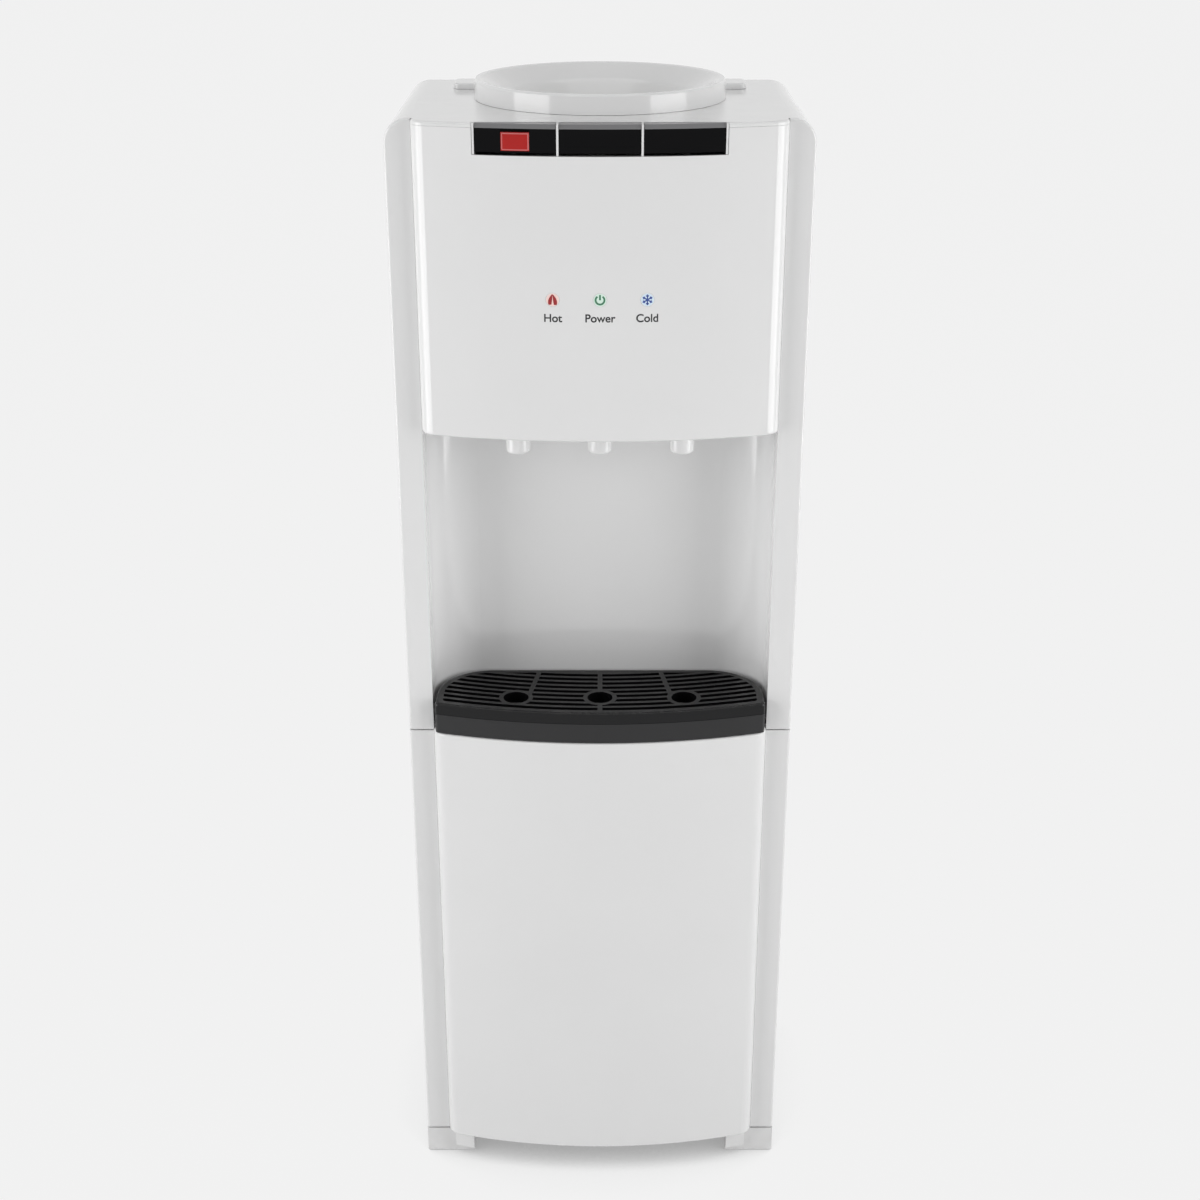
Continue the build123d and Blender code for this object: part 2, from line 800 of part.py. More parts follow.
def build_button_bezel():
    """White bezel: a shelf with rod guides, and dividers that carry the paddle pivots."""
    shelf_front = panel_edge - panel_gap
    back = front_apex + bezel_back
    bezel = block(-bezel_half, bezel_half, shelf_front, back, bezel_z, bezel_z + bezel_floor)
    for k in range(button_count + 1):
        x = (k - button_count / 2) * button_pitch
        fin_back = pivot_y + ear_half_height + divider
        bezel += crown_slice(x - divider / 2, x + divider / 2, bezel_z, notch_floor + fit_gap,
                             panel_gap + panel_wall + fit_gap, fin_back)
        bezel += crown_slice(x - divider / 2, x + divider / 2, notch_floor + fit_gap, button_top,
                             button_inset, fin_back)
        bezel -= bar_x(pivot_radius + pivot_fit, pivot_y, pivot_z, x - divider, x + divider)
    for x in spout_places:
        bezel -= upright(rod_radius + rod_fit, x, spout_y, bezel_z, bezel_z + bezel_floor)
    return bezel - block(-notch_half, notch_half, button_back, back, lip_bottom - fit_gap, top_height)


def build_indicator_lenses():
    """Three light guides, flush with the panel face."""
    lenses = []
    whole = prism(crowned_plan(panel_gap, strip_face), niche_top, top_height)
    for x in (-indicator_pitch, 0.0, indicator_pitch):
        lens = bar_y(lens_radius, x, indicator_height, front_apex, front_apex + board_back)
        lenses.append(lens & whole)
    return lenses


def build_indicator_board():
    """Circuit board on the panel bosses."""
    face = front_apex + board_back
    return block(-board_width / 2, board_width / 2, face, face + board_thickness,
                 indicator_height - board_height / 2, indicator_height + board_height / 2)


def build_bottle_seat():
    """Seat ring with a sloping rim, a bored spigot and two low lugs behind its sides."""
    low = top_height + rest_gap
    high = top_height + seat_rise
    spigot_end = top_height - seat_spigot
    outer = seat_bore + seat_wall
    lip = seat_bore - seat_lip
    rim = seat_radius
    inside = rim - seat_wall
    crest = rim - seat_edge - seat_rim_width
    shelf = spigot_end + guide_thickness
    slope = high - seat_slope_drop
    throat = high - seat_bore_drop
    ring = turned([(rim, low), (rim - seat_draft, high - seat_edge), (rim - seat_edge, high), (crest, high),
                   (seat_slope_radius, slope), (seat_bore, throat), (seat_bore, shelf), (lip, shelf),
                   (lip, spigot_end), (outer, spigot_end), (outer, throat - seat_wall),
                   (seat_slope_radius + seat_wall, slope - seat_wall), (crest, high - 2 * seat_wall),
                   (inside - seat_edge, high - 2 * seat_wall), (inside, low)], seat_centre,
                  [(3, seat_crest_round), (4, seat_throat_round)])
    core = upright(inside, 0, seat_centre, low, high)
    for side in (-1, 1):
        front = seat_centre + lug_setback
        lug = block(seat_bore, rim + lug_reach, front, front + lug_width, low, low + lug_height)
        lug = fillet(lug.edges().filter_by(Axis.Z).group_by(Axis.X)[-1], lug_round)
        lug = fillet(lug.edges().group_by(Axis.Z)[-1], lug_edge) - core
        ring += lug if side > 0 else mirror(lug, Plane.YZ)
    return ring


def build_water_guide():
    """Funnel that rests on the seat's inner lip, with a hollow probe for the bottle cap."""
    floor = top_height - seat_spigot + guide_thickness + rest_gap
    rim = seat_bore - fit_gap
    neck = rim - guide_flange
    inside = probe_radius - probe_wall
    cone_end = floor - guide_cone
    tip = probe_top - probe_wall
    guide = turned([(rim, floor), (rim, floor + guide_thickness), (neck, floor + guide_thickness),
                    (probe_radius, cone_end), (probe_radius, tip), (inside, probe_top), (0, probe_top),
                    (0, tip), (inside, tip), (inside, probe_bottom), (probe_radius, probe_bottom),
                    (probe_radius, cone_end - guide_thickness), (neck, floor)], seat_centre)
    window = block(-probe_wall, probe_wall, seat_centre - probe_radius, seat_centre + probe_radius,
                   floor, tip - probe_wall)
    return guide - window


def build_tank_seal():
    """Rubber ring on the tank rim, round the seat's spigot."""
    inner = seat_bore + seat_wall + fit_gap
    base = tank_rim + rest_gap
    ring = upright(tank_radius + rim_width / 2, 0, seat_centre, base, base + seal_height)
    return ring - upright(inner, 0, seat_centre, base, base + seal_height)


def outlet_places():
    """Plan places of the warm, cold and feed outlets in the tank floor."""
    front = seat_centre - outlet_forward
    return ((0.0, front), (cold_outlet_side, front), (feed_side, hot_centre - hot_pipe_forward))


def build_cold_tank():
    """Steel tank with a rim and three bottom outlets."""
    tank = upright(tank_radius, 0, seat_centre, tank_floor, tank_rim)
    tank += upright(tank_radius + rim_width, 0, seat_centre, tank_rim - tank_wall, tank_rim)
    for x, y in outlet_places():
        tank += upright(pipe_radius, x, y, outlet_end, tank_floor)
    tank -= upright(tank_radius - tank_wall, 0, seat_centre, tank_floor + tank_wall, tank_rim)
    for x, y in outlet_places():
        tank -= upright(pipe_bore, x, y, outlet_end, tank_floor + tank_wall)
    return tank


def build_cold_tank_foam():
    """Foam block round the tank, with a bore for the coil and channels for its ends."""
    top = tank_rim - tank_wall
    foam = block(-foam_half_width, foam_half_width, foam_front, foam_rear, foam_bottom, top)
    foam -= upright(foam_bore, 0, seat_centre, tank_floor, top)
    channel = line_radius + pipe_room
    for side in (-1, 1):
        x = side * coil_radius
        foam -= block(x - channel, x + channel, seat_centre, foam_rear, tank_floor, top)
    for x, y in outlet_places():
        foam -= upright(pipe_radius + pipe_room, x, y, foam_bottom, tank_floor)
    return foam


def build_tank_shelf():
    """Sheet shelf between the side panels that carries the foam block."""
    half = half_width - sheet - fit_gap
    thick = 2 * sheet
    front = strip_face + frame_return + sheet + 2 * fit_gap
    shelf = block(-half, half, front, shelf_rear, foam_bottom - thick, foam_bottom)
    for x0, x1 in ((-half, -half + thick), (half - thick, half)):
        shelf += block(x0, x1, front, shelf_rear, foam_bottom - shelf_flange, foam_bottom)
    for x, y in outlet_places():
        shelf -= upright(pipe_radius + pipe_room, x, y, foam_bottom - thick, foam_bottom)
    return shelf


def build_evaporator_coil():
    """One unbroken tube wound round the cold tank."""
    path = Helix(coil_pitch, coil_pitch * coil_turns, coil_radius)
    start = Plane(origin=path @ 0, z_dir=path % 0)
    coil = sweep(start * Circle(coil_tube), path=path, is_frenet=True)
    print("evaporator gap between turns: %.2f" % (coil_pitch - 2 * coil_tube))
    return Pos(0, seat_centre, coil_bottom) * Rot(0, 0, 180) * coil


def build_hot_tank():
    """Closed steel tank with two top pipes and a drain stub."""
    pipe_y = hot_centre - hot_pipe_forward
    tank = upright(hot_radius, 0, hot_centre, hot_floor, hot_top)
    tank = fillet(tank.edges().filter_by(GeomType.CIRCLE), hot_round)
    inner = upright(hot_radius - tank_wall, 0, hot_centre, hot_floor + tank_wall, hot_top - tank_wall)
    inner = fillet(inner.edges().filter_by(GeomType.CIRCLE), hot_round - tank_wall)
    for x in (-feed_side, feed_side):
        tank += upright(pipe_radius, x, pipe_y, hot_top - tank_wall, hot_top + hot_stub)
    tank += upright(pipe_radius, 0, hot_centre, hot_floor - hot_stub, hot_floor + tank_wall)
    tank -= inner
    for x in (-feed_side, feed_side):
        tank -= upright(pipe_bore, x, pipe_y, hot_top - tank_wall, hot_top + hot_stub)
    return tank - upright(pipe_bore, 0, hot_centre, hot_floor - hot_stub, hot_floor + tank_wall)


def build_hot_tank_bracket():
    """Bracket on the rear panel that carries the hot tank."""
    half = bracket_width / 2
    front = hot_centre - hot_radius
    bracket = block(-half, half, front, panel_inner, hot_floor - bracket_thickness, hot_floor)
    bracket += block(-half, half, panel_inner - bracket_thickness, panel_inner,
                     hot_floor - bracket_leg, hot_floor)
    return bracket - upright(pipe_radius + pipe_room, 0, hot_centre, hot_floor - bracket_thickness, hot_floor)


def build_heater_band():
    """Slit band heater clamped round the hot tank."""
    low = hot_floor + heater_rise
    high = low + heater_height
    inner = hot_radius + rest_gap
    band = upright(inner + heater_thickness, 0, hot_centre, low, high)
    band -= upright(inner, 0, hot_centre, low, high)
    half = heater_slit / 2
    return band - block(0, 2 * hot_radius, hot_centre - half, hot_centre + half, low, high)


def build_thermostats():
    """Two cut-outs on the hot tank and the cold thermostat on the rear panel."""
    pieces = []
    for y in (hot_centre - thermostat_spread, hot_centre + thermostat_spread):
        pieces.append(upright(thermostat_radius, 0, y, hot_top, hot_top + thermostat_height))
    wide, deep, tall = cold_thermostat_size
    x = -fitting_side
    pieces.append(block(x - wide / 2, x + wide / 2, panel_inner - deep, panel_inner,
                        cold_thermostat_height - tall / 2, cold_thermostat_height + tall / 2))
    return pieces


def water_hose(points, bend):
    """Silicone hose with a bore."""
    return tube(points, bend, pipe_radius, pipe_bore)


def build_cold_hose():
    """Hose from the tank floor to the cold tap."""
    y = seat_centre - outlet_forward
    x = cold_outlet_side
    return water_hose([(spout_pitch, inlet_end, inlet_z), (spout_pitch, inlet_end + spout_setback, inlet_z),
                       (x, y, inlet_z), (x, y, outlet_end)], tight_bend)


def build_warm_hose():
    """Hose from the tank floor to the warm tap."""
    y = seat_centre - outlet_forward
    return water_hose([(0, inlet_end, inlet_z), (0, y, inlet_z), (0, y, outlet_end)], line_bend)


def build_hot_hose():
    """Hose from the hot tank to the hot tap."""
    y = hot_centre - hot_pipe_forward
    return water_hose([(-spout_pitch, inlet_end, inlet_z), (-spout_pitch, seat_centre, inlet_z),
                       (-feed_side, y, inlet_z), (-feed_side, y, hot_top + hot_stub)], line_bend)


def build_feed_pipe():
    """Straight pipe from the cold tank down to the hot tank."""
    y = hot_centre - hot_pipe_forward
    return tube([(feed_side, y, hot_top + hot_stub), (feed_side, y, outlet_end)], 0, pipe_radius, pipe_bore)


def build_drain_pipe():
    """Pipe from the hot tank down to the drain outlet in the rear panel."""
    return tube([(0, hot_centre, hot_floor - hot_stub), (0, hot_centre, drain_height),
                 (0, rear_face + drain_reach, drain_height)], drain_bend, drain_radius, pipe_bore)


def build_drain_cap():
    """Cap pushed over the drain outlet."""
    start = rear_face + fit_gap
    cap = bar_y(cap_radius, 0, drain_height, start, start + cap_length)
    return cap - bar_y(drain_radius + cap_fit, 0, drain_height, start, rear_face + drain_reach + cap_fit)


def build_compressor():
    """Welded can with a seam ring, a foot plate and two pipe stubs."""
    can = upright(compressor_radius, 0, compressor_centre, can_bottom, can_top)
    can = fillet(can.edges().filter_by(GeomType.CIRCLE), compressor_round)
    middle = (can_bottom + can_top) / 2
    can += upright(compressor_radius + seam_ring, 0, compressor_centre,
                   middle - seam_ring_height / 2, middle + seam_ring_height / 2)
    wide, deep = foot_plate_size
    plate = block(-wide / 2, wide / 2, compressor_centre - deep / 2, compressor_centre + deep / 2,
                  can_bottom - foot_plate, can_bottom)
    for x in (-stub_side, stub_side):
        can += upright(line_radius, x, stub_y, can_top - stub_length, stub_top)
    hollow = upright(compressor_radius - compressor_wall, 0, compressor_centre,
                     can_bottom + compressor_wall, can_top - compressor_wall)
    hollow = fillet(hollow.edges().filter_by(GeomType.CIRCLE), compressor_round - compressor_wall)
    return can + plate - hollow


def build_compressor_grommets():
    """Four rubber grommets between the base and the foot plate."""
    grommets = []
    for x in (-grommet_spread[0], grommet_spread[0]):
        for y in (-grommet_spread[1], grommet_spread[1]):
            grommets.append(upright(grommet_radius, x, compressor_centre + y,
                                    base_top, can_bottom - foot_plate))
    return grommets


def build_relay_cover():
    """Cover of the start relay on the side of the can."""
    deep, tall = relay_size
    z = can_bottom + compressor_round
    cover = block(0, compressor_radius + relay_reach, compressor_centre - deep / 2,
                  compressor_centre + deep / 2, z, z + tall)
    return cover - upright(compressor_radius + fit_gap, 0, compressor_centre, z, z + tall)


def build_condenser():
    """Serpentine tube with welded wires and four standoff clips."""
    points = [(condenser_half_width, panel_inner - dryer_radius, condenser_entry),
              (condenser_half_width, condenser_y, condenser_entry)]
    for k in range(condenser_passes):
        z = condenser_bottom + k * condenser_pitch
        side = 1 if k % 2 == 0 else -1
        if k:
            points.append((side * condenser_half_width, condenser_y, z))
        points.append((-side * condenser_half_width, condenser_y, z))
    points[2:2] = [(condenser_half_width, condenser_y, condenser_bottom)]
    points[-1] = (condenser_exit, condenser_y, condenser_top)
    points += [(condenser_exit, condenser_y, condenser_entry),
               (condenser_exit, panel_inner - dryer_radius, condenser_entry)]
    pieces = [tube(points, tight_bend, condenser_tube)]
    wire_y = condenser_y + condenser_tube + weld_gap + wire_radius
    span = 2 * (condenser_half_width - condenser_exit_side)
    for k in range(wire_count):
        x = -span / 2 + k * span / (wire_count - 1)
        pieces.append(upright(wire_radius, x, wire_y, condenser_bottom - wire_overhang,
                              condenser_top + wire_overhang))
    clip_face = condenser_y - condenser_tube - weld_gap
    for x in (-condenser_half_width / 2, condenser_half_width / 2):
        for z in (condenser_bottom, condenser_top):
            pieces.append(block(x - clip_half, x + clip_half, rear_face, clip_face,
                                z - clip_half, z + clip_half))
    return pieces


def build_discharge_pipe():
    """Pipe from the compressor to the condenser."""
    rise = (stub_top + condenser_entry) / 2 - line_bend
    end = panel_inner - dryer_radius
    return tube([(stub_side, stub_y, stub_top), (stub_side, stub_y, rise),
                 (condenser_half_width, stub_y, rise), (condenser_half_width, stub_y, condenser_entry),
                 (condenser_half_width, end, condenser_entry)], line_bend, line_radius)


def build_suction_pipe():
    """Pipe from the evaporator back to the compressor."""
    back = foam_rear + suction_setback
    turn = condenser_entry - suction_drop
    return tube([(coil_radius, seat_centre + fit_gap, coil_top), (coil_radius, back, coil_top),
                 (coil_radius, back, turn), (-stub_side, back, turn), (-stub_side, stub_y, turn),
                 (-stub_side, stub_y, stub_top)], line_bend, line_radius)


def build_dryer():
    """Dryer below the condenser outlet, with the capillary that feeds the evaporator."""
    x = condenser_exit
    y = panel_inner - dryer_setback
    top = condenser_entry - dryer_drop
    bottom = top - dryer_length
    inlet = tube([(x, panel_inner - dryer_radius, condenser_entry), (x, y, condenser_entry), (x, y, top)],
                 line_bend, condenser_tube)
    body = upright(dryer_radius, x, y, bottom, top)
    body = fillet(body.edges().filter_by(GeomType.CIRCLE), dryer_round)
    back = foam_rear + capillary_setback
    low = bottom - capillary_drop
    capillary = tube([(x, y, bottom), (x, y, low), (-capillary_side, back, low),
                      (-capillary_side, back, coil_bottom), (-coil_radius, back, coil_bottom),
                      (-coil_radius, seat_centre + fit_gap, coil_bottom)],
                     tight_bend, capillary_radius)
    return inlet + body + capillary


def build_switch_housings():
    """Two switch housings snapped into the rear panel."""
    housings = []
    half_x, half_z = switch_size[0] / 2, switch_size[1] / 2
    left, right = fitting_side - half_x, fitting_side + half_x
    for z in (switch_height, switch_height - switch_pitch):
        inside = rear_face - switch_depth
        housing = block(left, right, inside, rear_face, z - half_z, z + half_z)
        rim_x, rim_z = half_x + switch_rim, half_z + switch_rim
        housing += block(fitting_side - rim_x, fitting_side + rim_x, rear_face, rear_face + sheet,
                         z - rim_z, z + rim_z)
        bay_x, bay_z = rocker_half[0] + fit_gap, half_z - sheet
        housing -= block(fitting_side - bay_x, fitting_side + bay_x, inside + sheet, rear_face + sheet,
                         z - bay_z, z + bay_z)
        housing -= bar_x(rocker_pin + pivot_fit, rocker_pivot, z, left, right)
        housings.append(housing)
    return housings


def build_rocker(z):
    """Rocker with two sloping faces and a pivot pin."""
    half_x, half_z = rocker_half
    front = rear_face + rocker_proud
    left, right = fitting_side - half_x, fitting_side + half_x
    rocker = block(left, right, front - rocker_depth, front, z - half_z, z + half_z)
    rocker -= bar_x(dent_radius, front + dent_radius - dent_depth, z, left, right)
    return rocker + bar_x(rocker_pin, rocker_pivot, z, left - sheet, right + sheet)


def build_cord_gland():
    """Flanged bush for the supply lead."""
    x = -fitting_side
    gland = bar_y(gland_radius, x, gland_height, panel_inner - screw_length, rear_face)
    gland += bar_y(gland_radius + gland_flange, x, gland_height, rear_face, rear_face + gland_flange)
    return gland - bar_y(gland_bore, x, gland_height, panel_inner - screw_length, rear_face + gland_flange)


nodes = {
    "base_frame": build_base_frame,
    "foot_pads": build_foot_pads,
    "left_side_panel": lambda: build_side_panel(-1),
    "right_side_panel": lambda: build_side_panel(1),
    "rear_panel": build_rear_panel,
    "rear_screws": build_rear_screws,
    "top_cover": build_top_cover,
    "upper_front_frame": build_upper_front_frame,
    "lower_front_frame": build_lower_front_frame,
    "upper_front_panel": build_upper_front_panel,
    "lower_front_panel": build_lower_front_panel,
    "niche_liner": build_niche_liner,
    "button_bezel": build_button_bezel,
    "hot_button": build_hot_button,
    "warm_button": lambda: build_button(0.0, 0.0),
    "cold_button": lambda: build_button(button_pitch, spout_pitch),
    "child_lock": build_child_lock,
    "spout_nozzles": build_spout_nozzles,
    "indicator_lenses": build_indicator_lenses,
    "indicator_board": build_indicator_board,
    "drip_tray": build_drip_tray,
    "drip_grille": build_drip_grille,
    "bottle_seat": build_bottle_seat,
    "water_guide": build_water_guide,
    "tank_seal": build_tank_seal,
    "cold_tank": build_cold_tank,
    "cold_tank_foam": build_cold_tank_foam,
    "tank_shelf": build_tank_shelf,
    "evaporator_coil": build_evaporator_coil,
    "hot_tank": build_hot_tank,
    "hot_tank_bracket": build_hot_tank_bracket,
    "heater_band": build_heater_band,
    "thermostats": build_thermostats,
    "cold_hose": build_cold_hose,
    "warm_hose": build_warm_hose,
    "hot_hose": build_hot_hose,
    "feed_pipe": build_feed_pipe,
    "drain_pipe": build_drain_pipe,
    "drain_cap": build_drain_cap,
    "compressor": build_compressor,
    "compressor_grommets": build_compressor_grommets,
    "relay_cover": build_relay_cover,
    "condenser": build_condenser,
    "discharge_pipe": build_discharge_pipe,
    "suction_pipe": build_suction_pipe,
    "dryer": build_dryer,
    "switch_housings": build_switch_housings,
    "hot_switch": lambda: build_rocker(switch_height),
    "cold_switch": lambda: build_rocker(switch_height - switch_pitch),
    "cord_gland": build_cord_gland,
}
for name, x in zip(("hot", "warm", "cold"), spout_places):
    nodes[name + "_tap"] = lambda x=x: build_tap(x)
    nodes[name + "_lift_rod"] = lambda x=x: build_lift_rod(x)
    nodes[name + "_return_spring"] = lambda x=x: build_return_spring(x)


def single_node(shape):
    """One exportable shape from a solid, or from a list of separate solids."""
    if isinstance(shape, list):
        return Compound(children=[Part(piece.wrapped) for piece in shape])
    return shape


os.makedirs("parts", exist_ok=True)
for name, build in nodes.items():
    export_step(single_node(build()), "parts/" + name + ".step")
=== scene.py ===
import math

import bmesh
import bpy
import numpy as np
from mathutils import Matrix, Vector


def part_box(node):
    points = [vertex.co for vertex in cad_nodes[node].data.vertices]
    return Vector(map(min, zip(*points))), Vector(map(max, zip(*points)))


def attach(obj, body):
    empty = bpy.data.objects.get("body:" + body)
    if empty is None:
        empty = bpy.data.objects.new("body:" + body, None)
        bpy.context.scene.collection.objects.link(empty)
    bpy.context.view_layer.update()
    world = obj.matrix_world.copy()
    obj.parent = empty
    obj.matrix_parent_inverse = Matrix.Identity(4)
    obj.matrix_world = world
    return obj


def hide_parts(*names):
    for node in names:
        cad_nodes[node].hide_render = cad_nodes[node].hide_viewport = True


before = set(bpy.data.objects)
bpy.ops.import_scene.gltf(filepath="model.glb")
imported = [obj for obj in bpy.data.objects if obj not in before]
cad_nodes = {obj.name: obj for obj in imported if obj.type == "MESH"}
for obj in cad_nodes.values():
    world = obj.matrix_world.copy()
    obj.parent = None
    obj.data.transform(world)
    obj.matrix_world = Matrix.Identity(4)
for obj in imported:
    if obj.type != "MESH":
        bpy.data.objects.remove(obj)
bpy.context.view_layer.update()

# Camera and studio
lens_length = 55.23
sensor_width = 36.0
camera_place = (0.0, -1.4859, 1.153)
camera_pitch = 23.28
floor_reach = 20.0
backdrop_tone = 0.877
backdrop_glow = 0.872
floor_albedo = 0.012
floor_bounce = 0.75
shadow_reach = 0.10
shadow_depth = 0.38
ambient_light = 0.33
side_light = 3.35
top_light = 0.8
back_light = 0.88
wall_out = 1.6
wall_front = -0.92
wall_height = 0.84
wall_size = (1.35, 1.6)
top_place = (0.0, -0.3, 2.6)
top_target = (0.0, -0.29, 0.9)
top_size = (1.8, 1.8)
back_place = (0.0, 2.0, 1.2)
back_target = (0.0, 0.0, 1.0)
back_size = (2.0, 1.6)

# Colours of the finishes, and their grains as the scale of a noise and its height
white = (0.80, 0.80, 0.80)
shade_black = (0.0, 0.0, 0.0, 1.0)
dust_tint = (0.55, 0.53, 0.50, 1.0)
grime_tint = (0.30, 0.28, 0.25, 1.0)
grime_height = 0.09
streak_dark = (0.05, 0.05, 0.05, 1.0)
coat_roughness = 0.05
plastic_grain = (900.0, 0.000004)
plastic_wave = (24.0, 0.000008)
paint_peel = (320.0, 0.000005)
satin_grain = (1400.0, 0.00002)
fine_satin_grain = (1400.0, 0.00001)
rubber_grain = (800.0, 0.00004)
lens_pink = (0.96, 0.72, 0.67, 1.0)
lens_green = (0.72, 0.90, 0.79, 1.0)
lens_blue = (0.72, 0.85, 0.97, 1.0)
mask_green = (0.012, 0.13, 0.045, 1.0)
track_green = (0.05, 0.27, 0.10, 1.0)
foam_pale = (0.80, 0.76, 0.66, 1.0)
foam_yellowed = (0.62, 0.57, 0.46, 1.0)

# Angle past which an edge of a new piece stays sharp
crease_angle = 0.6

# Printed signs on the front panel
crown_radius = 0.49635
sign_height = 0.0078
sign_stroke = 0.0014
print_proud = 0.00003
print_sunk = 0.00002
word_height = 0.0086
word_drop = 0.0168
word_weight = 0.0002
word_merge = 0.000001

# Painted highlight: a pale line along the edge of the lock's face
lock_bevel = 0.0005
highlight_inset = 0.00085
highlight_stroke = 0.0007

# Rear fittings
screw_radius = 0.0035
screw_rows = 4
screw_dome = 0.002
screw_recess = 0.0011
recess_reach = 0.62
recess_half = 0.15
cap_ribs = 22
cap_rib_depth = 0.0007
cap_bore = 0.0063
cap_bore_depth = 0.006
mark_height = 0.0026
mark_stroke = 0.0005
rocker_dent = 0.036


# Shader helpers

def put(tree, kind, **settings):
    """One shader node with its settings."""
    node = tree.nodes.new(kind)
    for key, value in settings.items():
        setattr(node, key, value)
    return node


def give(tree, socket, value):
    """Feed an input from another node's output, or set it to a plain value."""
    if isinstance(value, bpy.types.NodeSocket):
        tree.links.new(value, socket)
    else:
        socket.default_value = value


def calc(tree, operation, *values):
    """One sum in a shader tree: the output of a Math node."""
    node = put(tree, "ShaderNodeMath", operation=operation)
    for socket, value in zip(node.inputs, values):
        give(tree, socket, value)
    return node.outputs[0]


def noise(tree, vector, scale, detail=2.0):
    """Soft noise of about 0 to 1 over the surface."""
    node = put(tree, "ShaderNodeTexNoise")
    give(tree, node.inputs["Vector"], vector)
    give(tree, node.inputs["Scale"], scale)
    give(tree, node.inputs["Detail"], detail)
    return node.outputs["Fac"]


def ramp(tree, value, low, high, out_low=0.0, out_high=1.0):
    """A smooth step from out_low to out_high as the value goes from low to high."""
    node = put(tree, "ShaderNodeMapRange", interpolation_type="SMOOTHSTEP")
    for socket, amount in zip(node.inputs, (value, low, high, out_low, out_high)):
        give(tree, socket, amount)
    return node.outputs["Result"]


def blend_colour(tree, share, first, second):
    """A colour between two others."""
    node = put(tree, "ShaderNodeMix", data_type="RGBA")
    give(tree, node.inputs["Factor"], share)
    give(tree, node.inputs["A"], first)
    give(tree, node.inputs["B"], second)
    return node.outputs["Result"]


def parts_of(tree, vector):
    """The X, Y and Z of a vector."""
    node = put(tree, "ShaderNodeSeparateXYZ")
    give(tree, node.inputs["Vector"], vector)
    return node.outputs


def stretched(tree, vector, factors):
    """The same coordinates, stretched along each axis."""
    node = put(tree, "ShaderNodeMapping")
    give(tree, node.inputs["Vector"], vector)
    give(tree, node.inputs["Scale"], factors)
    return node.outputs["Vector"]


def new_group(name, inputs, outputs):
    """A shader node group with named inputs and outputs; returns it with its two end nodes."""
    tree = bpy.data.node_groups.new(name, "ShaderNodeTree")
    for label, kind in inputs:
        tree.interface.new_socket(label, in_out="INPUT", socket_type="NodeSocket" + kind)
    for label, kind in outputs:
        tree.interface.new_socket(label, in_out="OUTPUT", socket_type="NodeSocket" + kind)
    return tree, tree.nodes.new("NodeGroupInput").outputs, tree.nodes.new("NodeGroupOutput").inputs


def uneven_tone_group():
    """A colour that drifts slightly darker in soft patches: colour times one less depth times noise."""
    inputs = [("Vector", "Vector"), ("Colour", "Color"), ("Scale", "Float"), ("Depth", "Float")]
    tree, given, result = new_group("uneven_tone", inputs, [("Colour", "Color")])
    patches = ramp(tree, noise(tree, given["Vector"], given["Scale"], 3.0), 0.3, 0.7)
    share = calc(tree, "MULTIPLY", patches, given["Depth"])
    give(tree, result["Colour"], blend_colour(tree, share, given["Colour"], shade_black))
    return tree


def surface_skin_group():
    """A normal from two layers of noise, a fine grain and a long wave, each with its height."""
    inputs = [("Vector", "Vector"), ("Grain", "Float"), ("Grain Height", "Float"),
              ("Wave", "Float"), ("Wave Height", "Float")]
    tree, given, result = new_group("surface_skin", inputs, [("Normal", "Vector")])
    layers = []
    for layer in ("Grain", "Wave"):
        value = noise(tree, given["Vector"], given[layer], 1.0)
        layers.append(calc(tree, "MULTIPLY", value, given[layer + " Height"]))
    bump = put(tree, "ShaderNodeBump")
    give(tree, bump.inputs["Distance"], 1.0)
    give(tree, bump.inputs["Height"], calc(tree, "ADD", *layers))
    give(tree, result["Normal"], bump.outputs["Normal"])
    return tree


def hairlines_group():
    """A mask of sparse wiping marks: two noises stretched across each other, kept where high."""
    inputs = [("Vector", "Vector"), ("Scale", "Float"), ("Amount", "Float")]
    tree, given, result = new_group("hairlines", inputs, [("Mask", "Float")])
    layers = []
    for factors in ((1.0, 1.0, 0.03), (0.05, 0.05, 1.0)):
        value = noise(tree, stretched(tree, given["Vector"], factors), given["Scale"], 2.0)
        layers.append(ramp(tree, value, 0.58, 0.80))
    either = calc(tree, "MAXIMUM", *layers)
    give(tree, result["Mask"], calc(tree, "MULTIPLY", either, given["Amount"]))
    return tree


def settled_dust_group():
    """A mask of dust on faces that look up: the upward share of the normal, squared, times noise."""
    inputs = [("Vector", "Vector"), ("Scale", "Float"), ("Amount", "Float")]
    tree, given, result = new_group("settled_dust", inputs, [("Mask", "Float")])
    facing = parts_of(tree, put(tree, "ShaderNodeNewGeometry").outputs["Normal"])
    upward = calc(tree, "POWER", calc(tree, "MAXIMUM", facing["Z"], 0.0), 2.0)
    flecks = ramp(tree, noise(tree, given["Vector"], given["Scale"], 4.0), 0.35, 0.75)
    amount = calc(tree, "MULTIPLY", calc(tree, "MULTIPLY", upward, flecks), given["Amount"])
    give(tree, result["Mask"], amount)
    return tree


def floor_grime_group():
    """A mask that is strongest at the floor and fades out at the given height, broken up by noise."""
    inputs = [("Vector", "Vector"), ("Height", "Float"), ("Amount", "Float")]
    tree, given, result = new_group("floor_grime", inputs, [("Mask", "Float")])
    height = parts_of(tree, given["Vector"])["Z"]
    fade = ramp(tree, height, 0.0, given["Height"], 1.0, 0.0)
    patches = ramp(tree, noise(tree, given["Vector"], 60.0, 4.0), 0.3, 0.75, 0.2, 1.0)
    broken = calc(tree, "MULTIPLY", fade, patches)
    give(tree, result["Mask"], calc(tree, "MULTIPLY", broken, given["Amount"]))
    return tree


